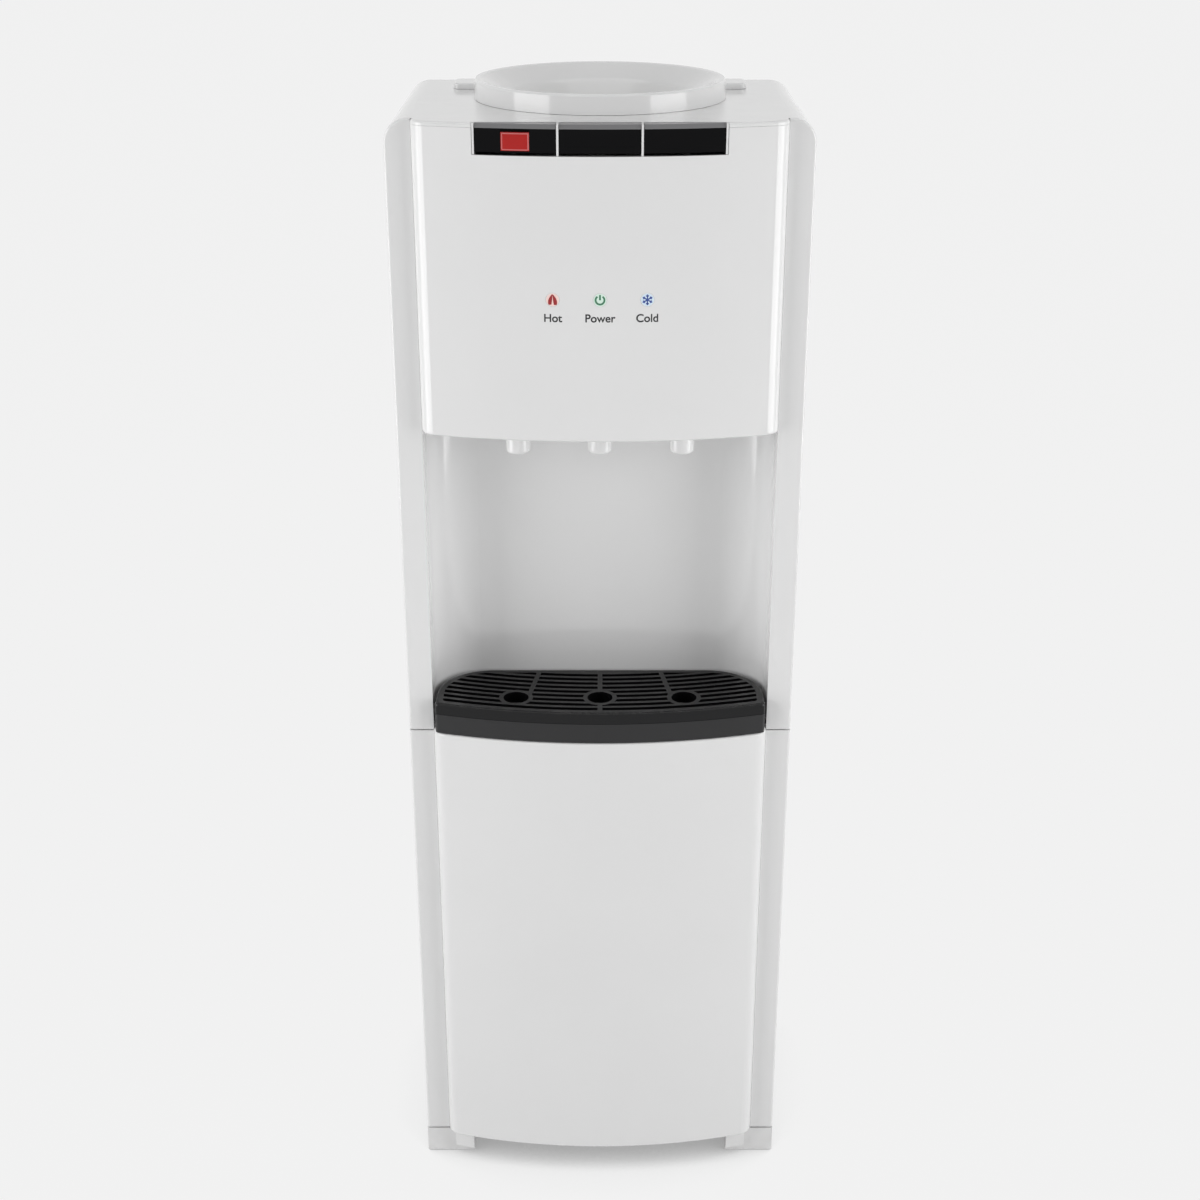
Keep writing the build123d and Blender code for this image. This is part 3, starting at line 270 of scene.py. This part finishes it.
groups = {"tone": uneven_tone_group(), "skin": surface_skin_group(), "hairlines": hairlines_group(),
          "dust": settled_dust_group(), "grime": floor_grime_group()}


def place_group(tree, key, **values):
    """One of the shared groups in a material, with its own values."""
    node = put(tree, "ShaderNodeGroup", node_tree=groups[key])
    for label, value in values.items():
        give(tree, node.inputs[label.replace("_", " ")], value)
    return node.outputs[0]


def new_material(name):
    """An empty material with its Principled shader and the object coordinates."""
    material = bpy.data.materials.new(name)
    material.use_nodes = True
    tree = material.node_tree
    shader = tree.nodes["Principled BSDF"]
    place = put(tree, "ShaderNodeTexCoord").outputs["Object"]
    return material, tree, shader, place


def moulding(name, colour, gloss, drift=0.03, grain=plastic_grain, coat=0.0, dust=0.02, grime=0.0,
             marks=0.02, level=0.5, painted_top_sheen=None):
    """Plastic or paint: uneven tone, grain over waves, wiping marks, dust, grime, and a painted sheen
    that makes upward faces paler.
    """
    material, tree, shader, place = new_material(name)
    tone = place_group(tree, "tone", Vector=place, Colour=(*colour, 1.0), Scale=9.0, Depth=drift)
    dusty = place_group(tree, "dust", Vector=place, Scale=160.0, Amount=dust)
    tone = blend_colour(tree, dusty, tone, dust_tint)
    if grime:
        dirt = place_group(tree, "grime", Vector=place, Height=grime_height, Amount=grime)
        tone = blend_colour(tree, dirt, tone, grime_tint)
    # Painted sheen: faces that look up are given a paler colour in place of the top lamp's reflection
    if painted_top_sheen:
        facing = parts_of(tree, put(tree, "ShaderNodeNewGeometry").outputs["True Normal"])
        tone = blend_colour(tree, ramp(tree, facing["Z"], 0.3, 0.6), tone, (*painted_top_sheen, 1.0))
    give(tree, shader.inputs["Base Color"], tone)
    hairs = place_group(tree, "hairlines", Vector=place, Scale=700.0, Amount=marks)
    rough = ramp(tree, noise(tree, place, 22.0, 3.0), 0.3, 0.7, gloss - 0.03, gloss + 0.04)
    rough = calc(tree, "ADD", calc(tree, "ADD", rough, hairs), calc(tree, "MULTIPLY", dusty, 0.8))
    give(tree, shader.inputs["Roughness"], rough)
    give(tree, shader.inputs["Normal"], place_group(
        tree, "skin", Vector=place, Grain=grain[0], Grain_Height=grain[1],
        Wave=plastic_wave[0], Wave_Height=plastic_wave[1]))
    shader.inputs["Specular IOR Level"].default_value = level
    shader.inputs["Coat Weight"].default_value = coat
    shader.inputs["Coat Roughness"].default_value = coat_roughness
    return material


def bare_metal(name, colour, tarnish, gloss, streak):
    """Bare metal: drawing lines along one axis, and tarnish in patches."""
    material, tree, shader, place = new_material(name)
    patches = ramp(tree, noise(tree, place, 45.0, 5.0), 0.42, 0.72)
    lines = noise(tree, stretched(tree, place, streak), 900.0, 3.0)
    tone = blend_colour(tree, patches, (*colour, 1.0), (*tarnish, 1.0))
    tone = blend_colour(tree, calc(tree, "MULTIPLY", lines, 0.35), tone, streak_dark)
    give(tree, shader.inputs["Base Color"], tone)
    rough = calc(tree, "ADD", ramp(tree, lines, 0.25, 0.75, gloss - 0.08, gloss + 0.10),
                 calc(tree, "MULTIPLY", patches, 0.18))
    give(tree, shader.inputs["Roughness"], rough)
    shader.inputs["Metallic"].default_value = 1.0
    give(tree, shader.inputs["Normal"], place_group(
        tree, "skin", Vector=place, Grain=700.0, Grain_Height=0.000006, Wave=40.0, Wave_Height=0.00003))
    return material


def circuit_board():
    """Green solder mask with paler tracks: a brick pattern's joints stand for the tracks."""
    material, tree, shader, place = new_material("solder_mask")
    turned = put(tree, "ShaderNodeMapping")
    give(tree, turned.inputs["Vector"], place)
    turned.inputs["Rotation"].default_value = (math.pi / 2, 0.0, 0.0)
    bricks = put(tree, "ShaderNodeTexBrick")
    give(tree, bricks.inputs["Vector"], turned.outputs["Vector"])
    bricks.inputs["Scale"].default_value = 120.0
    bricks.inputs["Mortar Size"].default_value = 0.03
    tone = blend_colour(tree, bricks.outputs["Fac"], mask_green, track_green)
    give(tree, shader.inputs["Base Color"], place_group(
        tree, "tone", Vector=place, Colour=tone, Scale=60.0, Depth=0.2))
    give(tree, shader.inputs["Roughness"], ramp(tree, noise(tree, place, 90.0), 0.3, 0.7, 0.28, 0.42))
    return material


def insulating_foam():
    """Pale foam: open cells from a Voronoi pattern, deeper in tone away from each cell's middle."""
    material, tree, shader, place = new_material("insulating_foam")
    cells = put(tree, "ShaderNodeTexVoronoi")
    give(tree, cells.inputs["Vector"], place)
    cells.inputs["Scale"].default_value = 420.0
    open_cells = ramp(tree, cells.outputs["Distance"], 0.1, 0.7)
    tone = blend_colour(tree, open_cells, foam_pale, foam_yellowed)
    give(tree, shader.inputs["Base Color"], place_group(
        tree, "tone", Vector=place, Colour=tone, Scale=14.0, Depth=0.15))
    shader.inputs["Roughness"].default_value = 0.95
    bump = put(tree, "ShaderNodeBump")
    bump.inputs["Distance"].default_value = 0.0006
    give(tree, bump.inputs["Height"], cells.outputs["Distance"])
    give(tree, shader.inputs["Normal"], bump.outputs["Normal"])
    return material


def tinted_lenses():
    """Lamp lenses in pink, green and blue from left to right, each fading to white towards its rim."""
    material, tree, shader, place = new_material("tinted_lenses")
    low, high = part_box("indicator_lenses")
    radius = (high[2] - low[2]) / 2
    pitch = high[0] - radius
    spot = parts_of(tree, place)
    middle = ramp(tree, spot["X"], -0.6 * pitch, -0.4 * pitch)
    right = ramp(tree, spot["X"], 0.4 * pitch, 0.6 * pitch)
    tint = blend_colour(tree, right, blend_colour(tree, middle, lens_pink, lens_green), lens_blue)
    across = calc(tree, "WRAP", spot["X"], pitch / 2, -pitch / 2)
    up = calc(tree, "SUBTRACT", spot["Z"], (low[2] + high[2]) / 2)
    squares = [calc(tree, "MULTIPLY", value, value) for value in (across, up)]
    rim = ramp(tree, calc(tree, "SQRT", calc(tree, "ADD", *squares)), 0.85 * radius, radius)
    give(tree, shader.inputs["Base Color"], blend_colour(tree, rim, tint, (*white, 1.0)))
    give(tree, shader.inputs["Roughness"], ramp(tree, noise(tree, place, 90.0), 0.3, 0.7, 0.10, 0.16))
    return material


mouldings = {
    "white_moulding": dict(colour=white, gloss=0.13, drift=0.012, coat=0.3, dust=0.012),
    "niche_moulding": dict(colour=white, gloss=0.12, drift=0.015, coat=0.3, dust=0.012),
    "base_moulding": dict(colour=white, gloss=0.35, drift=0.03, dust=0.06, grime=0.10),
    "powder_coat": dict(colour=(0.79, 0.79, 0.785), gloss=0.36, grain=paint_peel, dust=0.05, grime=0.10),
    # black_gloss carries a painted grey sheen on its upward faces
    "black_gloss": dict(colour=(0.003, 0.003, 0.0035), gloss=0.09, drift=0.1, marks=0.03, level=0.08,
                        painted_top_sheen=(0.21, 0.21, 0.215)),
    "black_satin": dict(colour=(0.018, 0.018, 0.020), gloss=0.34, drift=0.2, grain=satin_grain,
                        dust=0.04),
    "grille_satin": dict(colour=(0.004, 0.004, 0.0045), gloss=0.20, drift=0.15, grain=fine_satin_grain,
                         dust=0.03, level=0.3),
    "tray_satin": dict(colour=(0.018, 0.018, 0.019), gloss=0.36, drift=0.15, grain=satin_grain,
                       level=0.4),
    "red_gloss": dict(colour=(0.45, 0.012, 0.010), gloss=0.20, drift=0.12, level=0.3),
    "green_gloss": dict(colour=(0.03, 0.30, 0.08), gloss=0.22, drift=0.12),
    "natural_moulding": dict(colour=(0.74, 0.74, 0.71), gloss=0.36, drift=0.05),
    "rubber": dict(colour=(0.028, 0.028, 0.028), gloss=0.72, drift=0.25, grain=rubber_grain, grime=0.3),
    "silicone": dict(colour=(0.72, 0.72, 0.69), gloss=0.42, drift=0.08),
    "black_enamel": dict(colour=(0.012, 0.012, 0.012), gloss=0.35, drift=0.2, grain=paint_peel,
                         dust=0.3),
    "red_print": dict(colour=(0.34, 0.022, 0.025), gloss=0.40, drift=0.1),
    # painted highlight colour for the pale line along the lock's edge
    "painted_red_edge_highlight": dict(colour=(0.60, 0.16, 0.16), gloss=0.40, drift=0.1),
    "green_print": dict(colour=(0.06, 0.21, 0.12), gloss=0.40, drift=0.1),
    "blue_print": dict(colour=(0.045, 0.09, 0.34), gloss=0.40, drift=0.1),
    "black_print": dict(colour=(0.02, 0.02, 0.022), gloss=0.40, drift=0.1),
    "white_print": dict(colour=(0.78, 0.78, 0.78), gloss=0.40, drift=0.05),
}
finishes = {name: moulding(name, **look) for name, look in mouldings.items()}
finishes["tinted_lenses"] = tinted_lenses()
finishes["steel"] = bare_metal("steel", (0.62, 0.61, 0.59), (0.45, 0.44, 0.42), 0.30, (1.0, 1.0, 0.02))
finishes["copper"] = bare_metal("copper", (0.74, 0.40, 0.25), (0.36, 0.17, 0.10), 0.32, (0.05, 1.0, 1.0))
finishes["solder_mask"] = circuit_board()
finishes["insulating_foam"] = insulating_foam()
node_finishes = {
    "white_moulding": ["top_cover", "upper_front_frame", "lower_front_frame", "upper_front_panel",
                       "lower_front_panel", "button_bezel", "bottle_seat", "spout_nozzles"],
    "niche_moulding": ["niche_liner"],
    "base_moulding": ["base_frame"],
    "powder_coat": ["left_side_panel", "right_side_panel", "rear_panel"],
    "black_gloss": ["hot_button", "warm_button", "cold_button"],
    "grille_satin": ["drip_grille"],
    "tray_satin": ["drip_tray"],
    "black_satin": ["switch_housings", "relay_cover", "cord_gland", "thermostats"],
    "red_gloss": ["child_lock", "hot_switch"],
    "green_gloss": ["cold_switch"],
    "natural_moulding": ["water_guide", "hot_tap", "warm_tap", "cold_tap", "hot_lift_rod",
                         "warm_lift_rod", "cold_lift_rod", "drain_cap"],
    "tinted_lenses": ["indicator_lenses"],
    "rubber": ["foot_pads", "compressor_grommets", "tank_seal"],
    "silicone": ["cold_hose", "warm_hose", "hot_hose", "feed_pipe", "drain_pipe"],
    "black_enamel": ["compressor", "condenser"],
    "steel": ["hot_return_spring", "warm_return_spring", "cold_return_spring", "rear_screws",
              "tank_shelf", "hot_tank_bracket", "cold_tank", "hot_tank", "heater_band"],
    "copper": ["evaporator_coil", "discharge_pipe", "suction_pipe", "dryer"],
    "solder_mask": ["indicator_board"],
    "insulating_foam": ["cold_tank_foam"],
}
for finish, names in node_finishes.items():
    for name in names:
        mesh = cad_nodes[name].data
        mesh.materials.clear()
        mesh.materials.append(finishes[finish])


# Mesh helpers

def grid_quads(rows, columns, loop=False):
    """Quads of a grid of points whose last column joins the first, as its last row does in a loop."""
    i, j = np.meshgrid(np.arange(rows if loop else rows - 1), np.arange(columns), indexing="ij")
    below, beside = (i + 1) % rows, (j + 1) % columns
    here, under = i * columns, below * columns
    return np.stack([here + j, under + j, under + beside, here + beside], -1).reshape(-1, 4)


def signed_volume(points, faces):
    """Six times the volume that some faces close off, positive where they look outwards."""
    corners = [points[faces[:, k]] for k in range(faces.shape[1])]
    return sum(np.einsum("ij,ij->", corners[0], np.cross(corners[k], corners[k + 1]))
               for k in range(1, len(corners) - 1))


def add_object(name, data):
    """One object in the scene, at the origin."""
    thing = bpy.data.objects.new(name, data)
    bpy.context.scene.collection.objects.link(thing)
    return thing


def add_piece(name, body, finish, points, face_sets):
    """One closed mesh from points and sets of faces, turned outwards, on its body with its finish."""
    outward = sum(signed_volume(points, faces) for faces in face_sets) > 0.0
    turned = [faces if outward else faces[:, ::-1] for faces in face_sets]
    mesh = bpy.data.meshes.new(name)
    mesh.from_pydata(points.tolist(), [], sum((faces.tolist() for faces in turned), []))
    mesh.shade_smooth()
    mesh.set_sharp_from_angle(angle=crease_angle)
    mesh.materials.append(finishes[finish])
    piece = add_object(name, mesh)
    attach(piece, body)
    return piece


def join_shapes(shapes):
    """Several sets of points and faces as one."""
    starts = np.cumsum([0] + [len(points) for points, faces in shapes[:-1]])
    faces = [faces + start for start, (points, faces) in zip(starts, shapes)]
    return np.concatenate([points for points, faces in shapes]), np.concatenate(faces)


def stroke(across, up, width, lay, loop=False):
    """A printed stroke: a flat four-sided section of the given width, carried along a line."""
    slope_x, slope_z = np.gradient(across), np.gradient(up)
    length = np.hypot(slope_x, slope_z)
    side_x, side_z = -slope_z / length * width / 2, slope_x / length * width / 2
    ring = [lay(across + s * side_x, up + s * side_z, proud)
            for s, proud in ((1, print_proud), (-1, print_proud), (-1, -print_sunk), (1, -print_sunk))]
    points = np.stack(ring, axis=1).reshape(-1, 3)
    faces = grid_quads(len(across), 4, loop)
    if not loop:
        ends = np.array([[0, 1, 2, 3], [3, 2, 1, 0]])
        ends[1] += len(points) - 4
        faces = np.concatenate([faces, ends])
    return points, faces


def turned_shape(radius, along, centre):
    """A form turned about a line front to back: rows of radius and place by angle, closed by poles."""
    rows, columns = radius.shape
    angle = np.linspace(0.0, 2 * np.pi, columns, endpoint=False)
    points = np.stack([radius * np.cos(angle), along, radius * np.sin(angle)], -1).reshape(-1, 3)
    poles = np.array([[0.0, along[0].mean(), 0.0], [0.0, along[-1].mean(), 0.0]])
    j = np.arange(columns)
    after = (j + 1) % columns
    last = (rows - 1) * columns
    first_pole = np.full(columns, rows * columns)
    fans = np.concatenate([np.stack([j, after, first_pole], -1),
                           np.stack([last + after, last + j, first_pole + 1], -1)])
    return np.concatenate([points, poles]) + np.array(centre), grid_quads(rows, columns), fans


# Signs on the front panel

panel_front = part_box("upper_front_panel")[0][1]
lens_low, lens_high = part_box("indicator_lenses")
lens_radius = (lens_high[2] - lens_low[2]) / 2
sign_z = (lens_high[2] + lens_low[2]) / 2
sign_x = lens_high[0] - lens_radius


def on_crown(x, z, proud):
    """A place on the crowned panel: the front of a cylinder about an upright line, a little proud."""
    y = panel_front + crown_radius - np.sqrt((crown_radius + proud) ** 2 - x ** 2)
    return np.stack([x, y, z], axis=-1)


def straight(x0, z0, x1, z1, width, lay=on_crown, steps=5):
    """A straight stroke between two places."""
    share = np.linspace(0.0, 1.0, steps)
    return stroke(x0 + (x1 - x0) * share, z0 + (z1 - z0) * share, width, lay)


def round_stroke(x, z, radius, width, start=0.0, sweep=2 * np.pi, lay=on_crown, steps=64):
    """A stroke along an arc from a start angle, or round a whole circle."""
    whole = sweep == 2 * np.pi
    angle = start + sweep * np.linspace(0.0, 1.0, steps, endpoint=not whole)
    return stroke(x + radius * np.cos(angle), z + radius * np.sin(angle), width, lay, whole)


def add_print(name, body, finish, shapes):
    """One printed sign from its strokes."""
    points, faces = join_shapes(shapes)
    add_piece(name, body, finish, points, [faces])


def flame_shape(x, z):
    """A flame: two strokes from the tip, bowed as a sine, broadest low down and apart at the foot."""
    shapes = []
    share = np.linspace(0.0, 1.0, 25)
    for side, tip, foot in ((-1.0, 0.54, -0.48), (1.0, 0.50, -0.50)):
        bow = side * (0.02 + 0.24 * np.sin(0.58 * np.pi * share))
        width = 0.06 + 0.30 * np.sin(0.74 * np.pi * share)
        shapes.append(stroke(x + sign_height * bow, z + sign_height * (tip + (foot - tip) * share),
                             sign_height * width, on_crown))
    return shapes


def power_shape(x, z):
    """A broken ring with a bar through its gap."""
    radius = sign_height * 0.42
    ring = round_stroke(x, z, radius, sign_stroke, math.radians(125), math.radians(290))
    return [ring, straight(x, z, x, z + radius * 1.2, sign_stroke)]


def snowflake_shape(x, z):
    """Six arms at equal angles, two to a stroke, each with a pair of short side branches."""
    shapes = []
    arm = sign_height * 0.52
    for angle in np.radians(np.arange(30, 390, 60)):
        reach_x, reach_z = arm * math.cos(angle), arm * math.sin(angle)
        if angle < math.pi:
            shapes.append(straight(x - reach_x, z - reach_z, x + reach_x, z + reach_z, sign_stroke * 0.7))
        fork_x, fork_z = x + 0.55 * arm * math.cos(angle), z + 0.55 * arm * math.sin(angle)
        for turn in (-0.8, 0.8):
            shapes.append(straight(fork_x, fork_z, fork_x + 0.35 * arm * math.cos(angle + turn),
                                   fork_z + 0.35 * arm * math.sin(angle + turn), sign_stroke * 0.6))
    return shapes


add_print("flame_sign", "cabinet", "red_print", flame_shape(-sign_x, sign_z))
add_print("power_sign", "cabinet", "green_print", power_shape(0.0, sign_z))
add_print("snowflake_sign", "cabinet", "blue_print", snowflake_shape(sign_x, sign_z))


def add_word(text, x):
    """A plain word under a sign: its outline moved out along its normals, then bent onto the panel."""
    name = text.lower() + "_word"
    letters = bpy.data.curves.new(name, "FONT")
    letters.body = text
    letters.size = word_height
    letters.align_x = "CENTER"
    letters.extrude = (print_proud + print_sunk) / 2
    source = bpy.data.objects.new(name + "_letters", letters)
    mesh = bpy.data.meshes.new_from_object(source)
    shell = bmesh.new()
    shell.from_mesh(mesh)
    bmesh.ops.remove_doubles(shell, verts=shell.verts, dist=word_merge)
    shell.to_mesh(mesh)
    shell.free()
    mesh.shade_flat()
    flat, outward = np.empty((2, 3 * len(mesh.vertices)))
    mesh.vertices.foreach_get("co", flat)
    mesh.vertices.foreach_get("normal", outward)
    across, up, proud = flat.reshape(-1, 3).T
    side_x, side_z = outward.reshape(-1, 3).T[:2]
    weight = word_weight / np.hypot(side_x, side_z)
    placed = on_crown(x + across + weight * side_x, sign_z - word_drop + up + weight * side_z,
                      proud + (print_proud - print_sunk) / 2)
    mesh.vertices.foreach_set("co", placed.ravel())
    mesh.materials.clear()
    mesh.materials.append(finishes["black_print"])
    bpy.data.objects.remove(source)
    bpy.data.curves.remove(letters)
    piece = add_object(name, mesh)
    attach(piece, "cabinet")


for text, x in (("Hot", -sign_x), ("Power", 0.0), ("Cold", sign_x)):
    add_word(text, x)


def add_lock_edge_highlight():
    """A painted highlight: a paler line round the edge of the lock's face, which is bowed about the same
    upright line as the panel.
    """
    low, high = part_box("child_lock")
    left, right = low[0] + highlight_inset, high[0] - highlight_inset
    bottom, top = low[2] + highlight_inset, high[2] - highlight_inset
    bow = math.hypot(panel_front + crown_radius - low[1], high[0] - lock_bevel)

    def on_lock(x, z, proud):
        """A place on the lock's bowed face, a little proud of it."""
        y = panel_front + crown_radius - np.sqrt((bow + proud) ** 2 - x ** 2)
        return np.stack([x, y, z], axis=-1)

    corners = ((left, bottom), (right, bottom), (right, top), (left, top))
    lines = [straight(*start, *end, highlight_stroke, on_lock)
             for start, end in zip(corners, corners[1:] + corners[:1])]
    add_print("lock_edge_highlight", "child_lock", "painted_red_edge_highlight", lines)


add_lock_edge_highlight()


# Rear fittings

def within(value, limit):
    """One inside a band about zero and nought outside it, with a short slope between."""
    return np.clip((limit - np.abs(value)) / 0.06 + 0.5, 0.0, 1.0)


def add_screw_heads():
    """Domed screw heads: the height falls with the radius squared, less a cross sunk in the middle."""
    low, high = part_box("rear_screws")
    share = np.linspace(0.04, 1.0, 24)[:, None]
    angle = np.linspace(0.0, 2 * np.pi, 48, endpoint=False)[None, :]
    across, up = share * np.cos(angle), share * np.sin(angle)
    cross = np.maximum(within(across, recess_half) * within(up, recess_reach),
                       within(up, recess_half) * within(across, recess_reach))
    height = screw_dome * (1.0 - 0.55 * share ** 2) - screw_recess * cross
    radius = np.broadcast_to(screw_radius * share, height.shape)
    radius = np.concatenate([radius, radius[-1:]])
    height = np.concatenate([height, np.zeros_like(height[:1])])
    points, quads, fans = turned_shape(radius, height, (0.0, high[1] - screw_dome, 0.0))
    side = high[0] - screw_radius
    rows = np.linspace(low[2] + screw_radius, high[2] - screw_radius, screw_rows)
    x, z = (spread.ravel() for spread in np.meshgrid([-side, side], rows))
    moves = np.stack([x, np.zeros_like(x), z], -1)
    starts = np.arange(len(moves))[:, None, None] * len(points)
    every = (points[None] + moves[:, None]).reshape(-1, 3)
    piece = add_piece("screw_heads", "cabinet", "steel", every,
                      [(quads[None] + starts).reshape(-1, 4), (fans[None] + starts).reshape(-1, 3)])
    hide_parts("rear_screws")


def add_ribbed_cap():
    """Drain cap: a bored turned form whose outer wall dips between its ribs as a cosine of the angle."""
    low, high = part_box("drain_cap")
    outer, length = (high[0] - low[0]) / 2, high[1] - low[1]
    profile = np.array([(cap_bore, cap_bore_depth, 0.0), (cap_bore, 0.0, 0.0), (outer * 0.94, 0.0, 0.0),
                        (outer, outer * 0.06, 1.0), (outer, length * 0.80, 1.0),
                        (outer * 0.97, length * 0.90, 0.5), (outer * 0.90, length * 0.97, 0.0),
                        (outer * 0.80, length, 0.0)])
    angle = np.linspace(0.0, 2 * np.pi, 8 * cap_ribs, endpoint=False)[None, :]
    dip = cap_rib_depth * (0.5 - 0.5 * np.cos(cap_ribs * angle))
    radius = profile[:, :1] - profile[:, 2:] * dip
    along = np.broadcast_to(profile[:, 1:2], radius.shape)
    centre = (0.0, low[1], (low[2] + high[2]) / 2)
    points, quads, fans = turned_shape(radius, along, centre)
    piece = add_piece("ribbed_drain_cap", "drain_cap", "natural_moulding",
                      points, [quads, fans])
    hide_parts("drain_cap")


def add_rocker_marks(node):
    """The bar and ring of an on and off switch, laid on the hollow face of a rocker."""
    low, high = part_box(node)
    x, z = (low[0] + high[0]) / 2, (low[2] + high[2]) / 2
    half = (high[2] - low[2]) / 2
    axis = high[1] + math.sqrt(rocker_dent ** 2 - half ** 2)

    def on_rocker(across, up, proud):
        """A place on the hollow of a cylinder about a line side to side."""
        y = axis - np.sqrt((rocker_dent - proud) ** 2 - (up - z) ** 2)
        return np.stack([across, y, up], axis=-1)

    top, bottom = z + half / 2, z - half / 2
    bar = straight(x, top - mark_height / 2, x, top + mark_height / 2, mark_stroke, on_rocker)
    ring = round_stroke(x, bottom, mark_height / 2, mark_stroke, lay=on_rocker)
    add_print(node + "_marks", node, "white_print", [bar, ring])


add_screw_heads()
add_ribbed_cap()
for switch in ("hot_switch", "cold_switch"):
    add_rocker_marks(switch)


# Studio

def seen_directly(tree):
    """One where the camera sees the surface, also mirrored or through glass, and nought otherwise."""
    path = put(tree, "ShaderNodeLightPath").outputs
    mirrored = calc(tree, "MAXIMUM", path["Is Camera Ray"], path["Is Glossy Ray"])
    return calc(tree, "MAXIMUM", mirrored, path["Is Transmission Ray"])


def studio_floor():
    """A flat square floor, pale to the camera, darkened where the object stands close over it."""
    steps = np.array([-floor_reach, floor_reach])
    x, y = np.meshgrid(steps, steps)
    points = np.column_stack([x.ravel(), y.ravel(), np.zeros(4)])
    mesh = bpy.data.meshes.new("studio_floor")
    mesh.from_pydata(points.tolist(), [], [(0, 1, 3, 2)])
    material = bpy.data.materials.new("studio_floor")
    material.use_nodes = True
    tree = material.node_tree
    tree.nodes.clear()
    shade = put(tree, "ShaderNodeAmbientOcclusion", samples=8)
    shade.inputs["Distance"].default_value = shadow_reach
    under = ramp(tree, shade.outputs["AO"], 0.05, 0.62, backdrop_glow * shadow_depth, backdrop_glow)
    glow = put(tree, "ShaderNodeEmission")
    give(tree, glow.inputs["Strength"], under)
    pale = put(tree, "ShaderNodeBsdfDiffuse")
    pale.inputs["Color"].default_value = (floor_albedo, floor_albedo, floor_albedo, 1.0)
    both = put(tree, "ShaderNodeAddShader")
    give(tree, both.inputs[0], glow.outputs[0])
    give(tree, both.inputs[1], pale.outputs[0])
    bounce = put(tree, "ShaderNodeBsdfDiffuse")
    bounce.inputs["Color"].default_value = (floor_bounce, floor_bounce, floor_bounce, 1.0)
    mix = put(tree, "ShaderNodeMixShader")
    give(tree, mix.inputs[0], seen_directly(tree))
    give(tree, mix.inputs[1], bounce.outputs[0])
    give(tree, mix.inputs[2], both.outputs[0])
    give(tree, put(tree, "ShaderNodeOutputMaterial").inputs["Surface"], mix.outputs[0])
    mesh.materials.append(material)
    floor = add_object("studio_floor", mesh)


def studio_world():
    """Even soft light from all round, seen as the pale backdrop."""
    world = bpy.data.worlds.new("studio_world")
    bpy.context.scene.world = world
    world.use_nodes = True
    tree = world.node_tree
    strength = put(tree, "ShaderNodeMix", data_type="FLOAT")
    give(tree, strength.inputs["Factor"], seen_directly(tree))
    give(tree, strength.inputs["A"], ambient_light)
    give(tree, strength.inputs["B"], backdrop_tone)
    backdrop = tree.nodes["Background"]
    backdrop.inputs["Color"].default_value = (1.0, 1.0, 1.0, 1.0)
    give(tree, backdrop.inputs["Strength"], strength.outputs["Result"])


def softbox(name, place, target, size, radiance):
    """A rectangular soft lamp of even radiance, turned to its target."""
    data = bpy.data.lights.new(name, "AREA")
    data.shape = "RECTANGLE"
    data.size, data.size_y = size
    data.energy = radiance * math.pi * size[0] * size[1]
    lamp = add_object(name, data)
    lamp.location = place
    lamp.visible_camera = False
    aim = np.array(target) - np.array(place)
    yaw = math.atan2(-aim[0], aim[1])
    tilt = math.atan2(math.hypot(aim[0], aim[1]), -aim[2])
    lamp.rotation_euler = (tilt, 0.0, yaw)
    return lamp


def photo_camera():
    """A camera at the photograph's viewing angle."""
    data = bpy.data.cameras.new("photo_camera")
    data.sensor_width = sensor_width
    data.lens = lens_length
    camera = add_object("photo_camera", data)
    camera.location = camera_place
    camera.rotation_euler = (math.radians(90.0 - camera_pitch), 0.0, 0.0)
    bpy.context.scene.camera = camera


studio_floor()
studio_world()
wall_target = (0.0, wall_front, wall_height)
softbox("left_wall", (-wall_out, wall_front, wall_height), wall_target, wall_size, side_light)
softbox("right_wall", (wall_out, wall_front, wall_height), wall_target, wall_size, side_light)
softbox("top_box", top_place, top_target, top_size, top_light)
back_fill = softbox("back_fill", back_place, back_target, back_size, back_light)
back_fill.visible_glossy = False
photo_camera()
bpy.context.scene.view_settings.view_transform = "Standard"
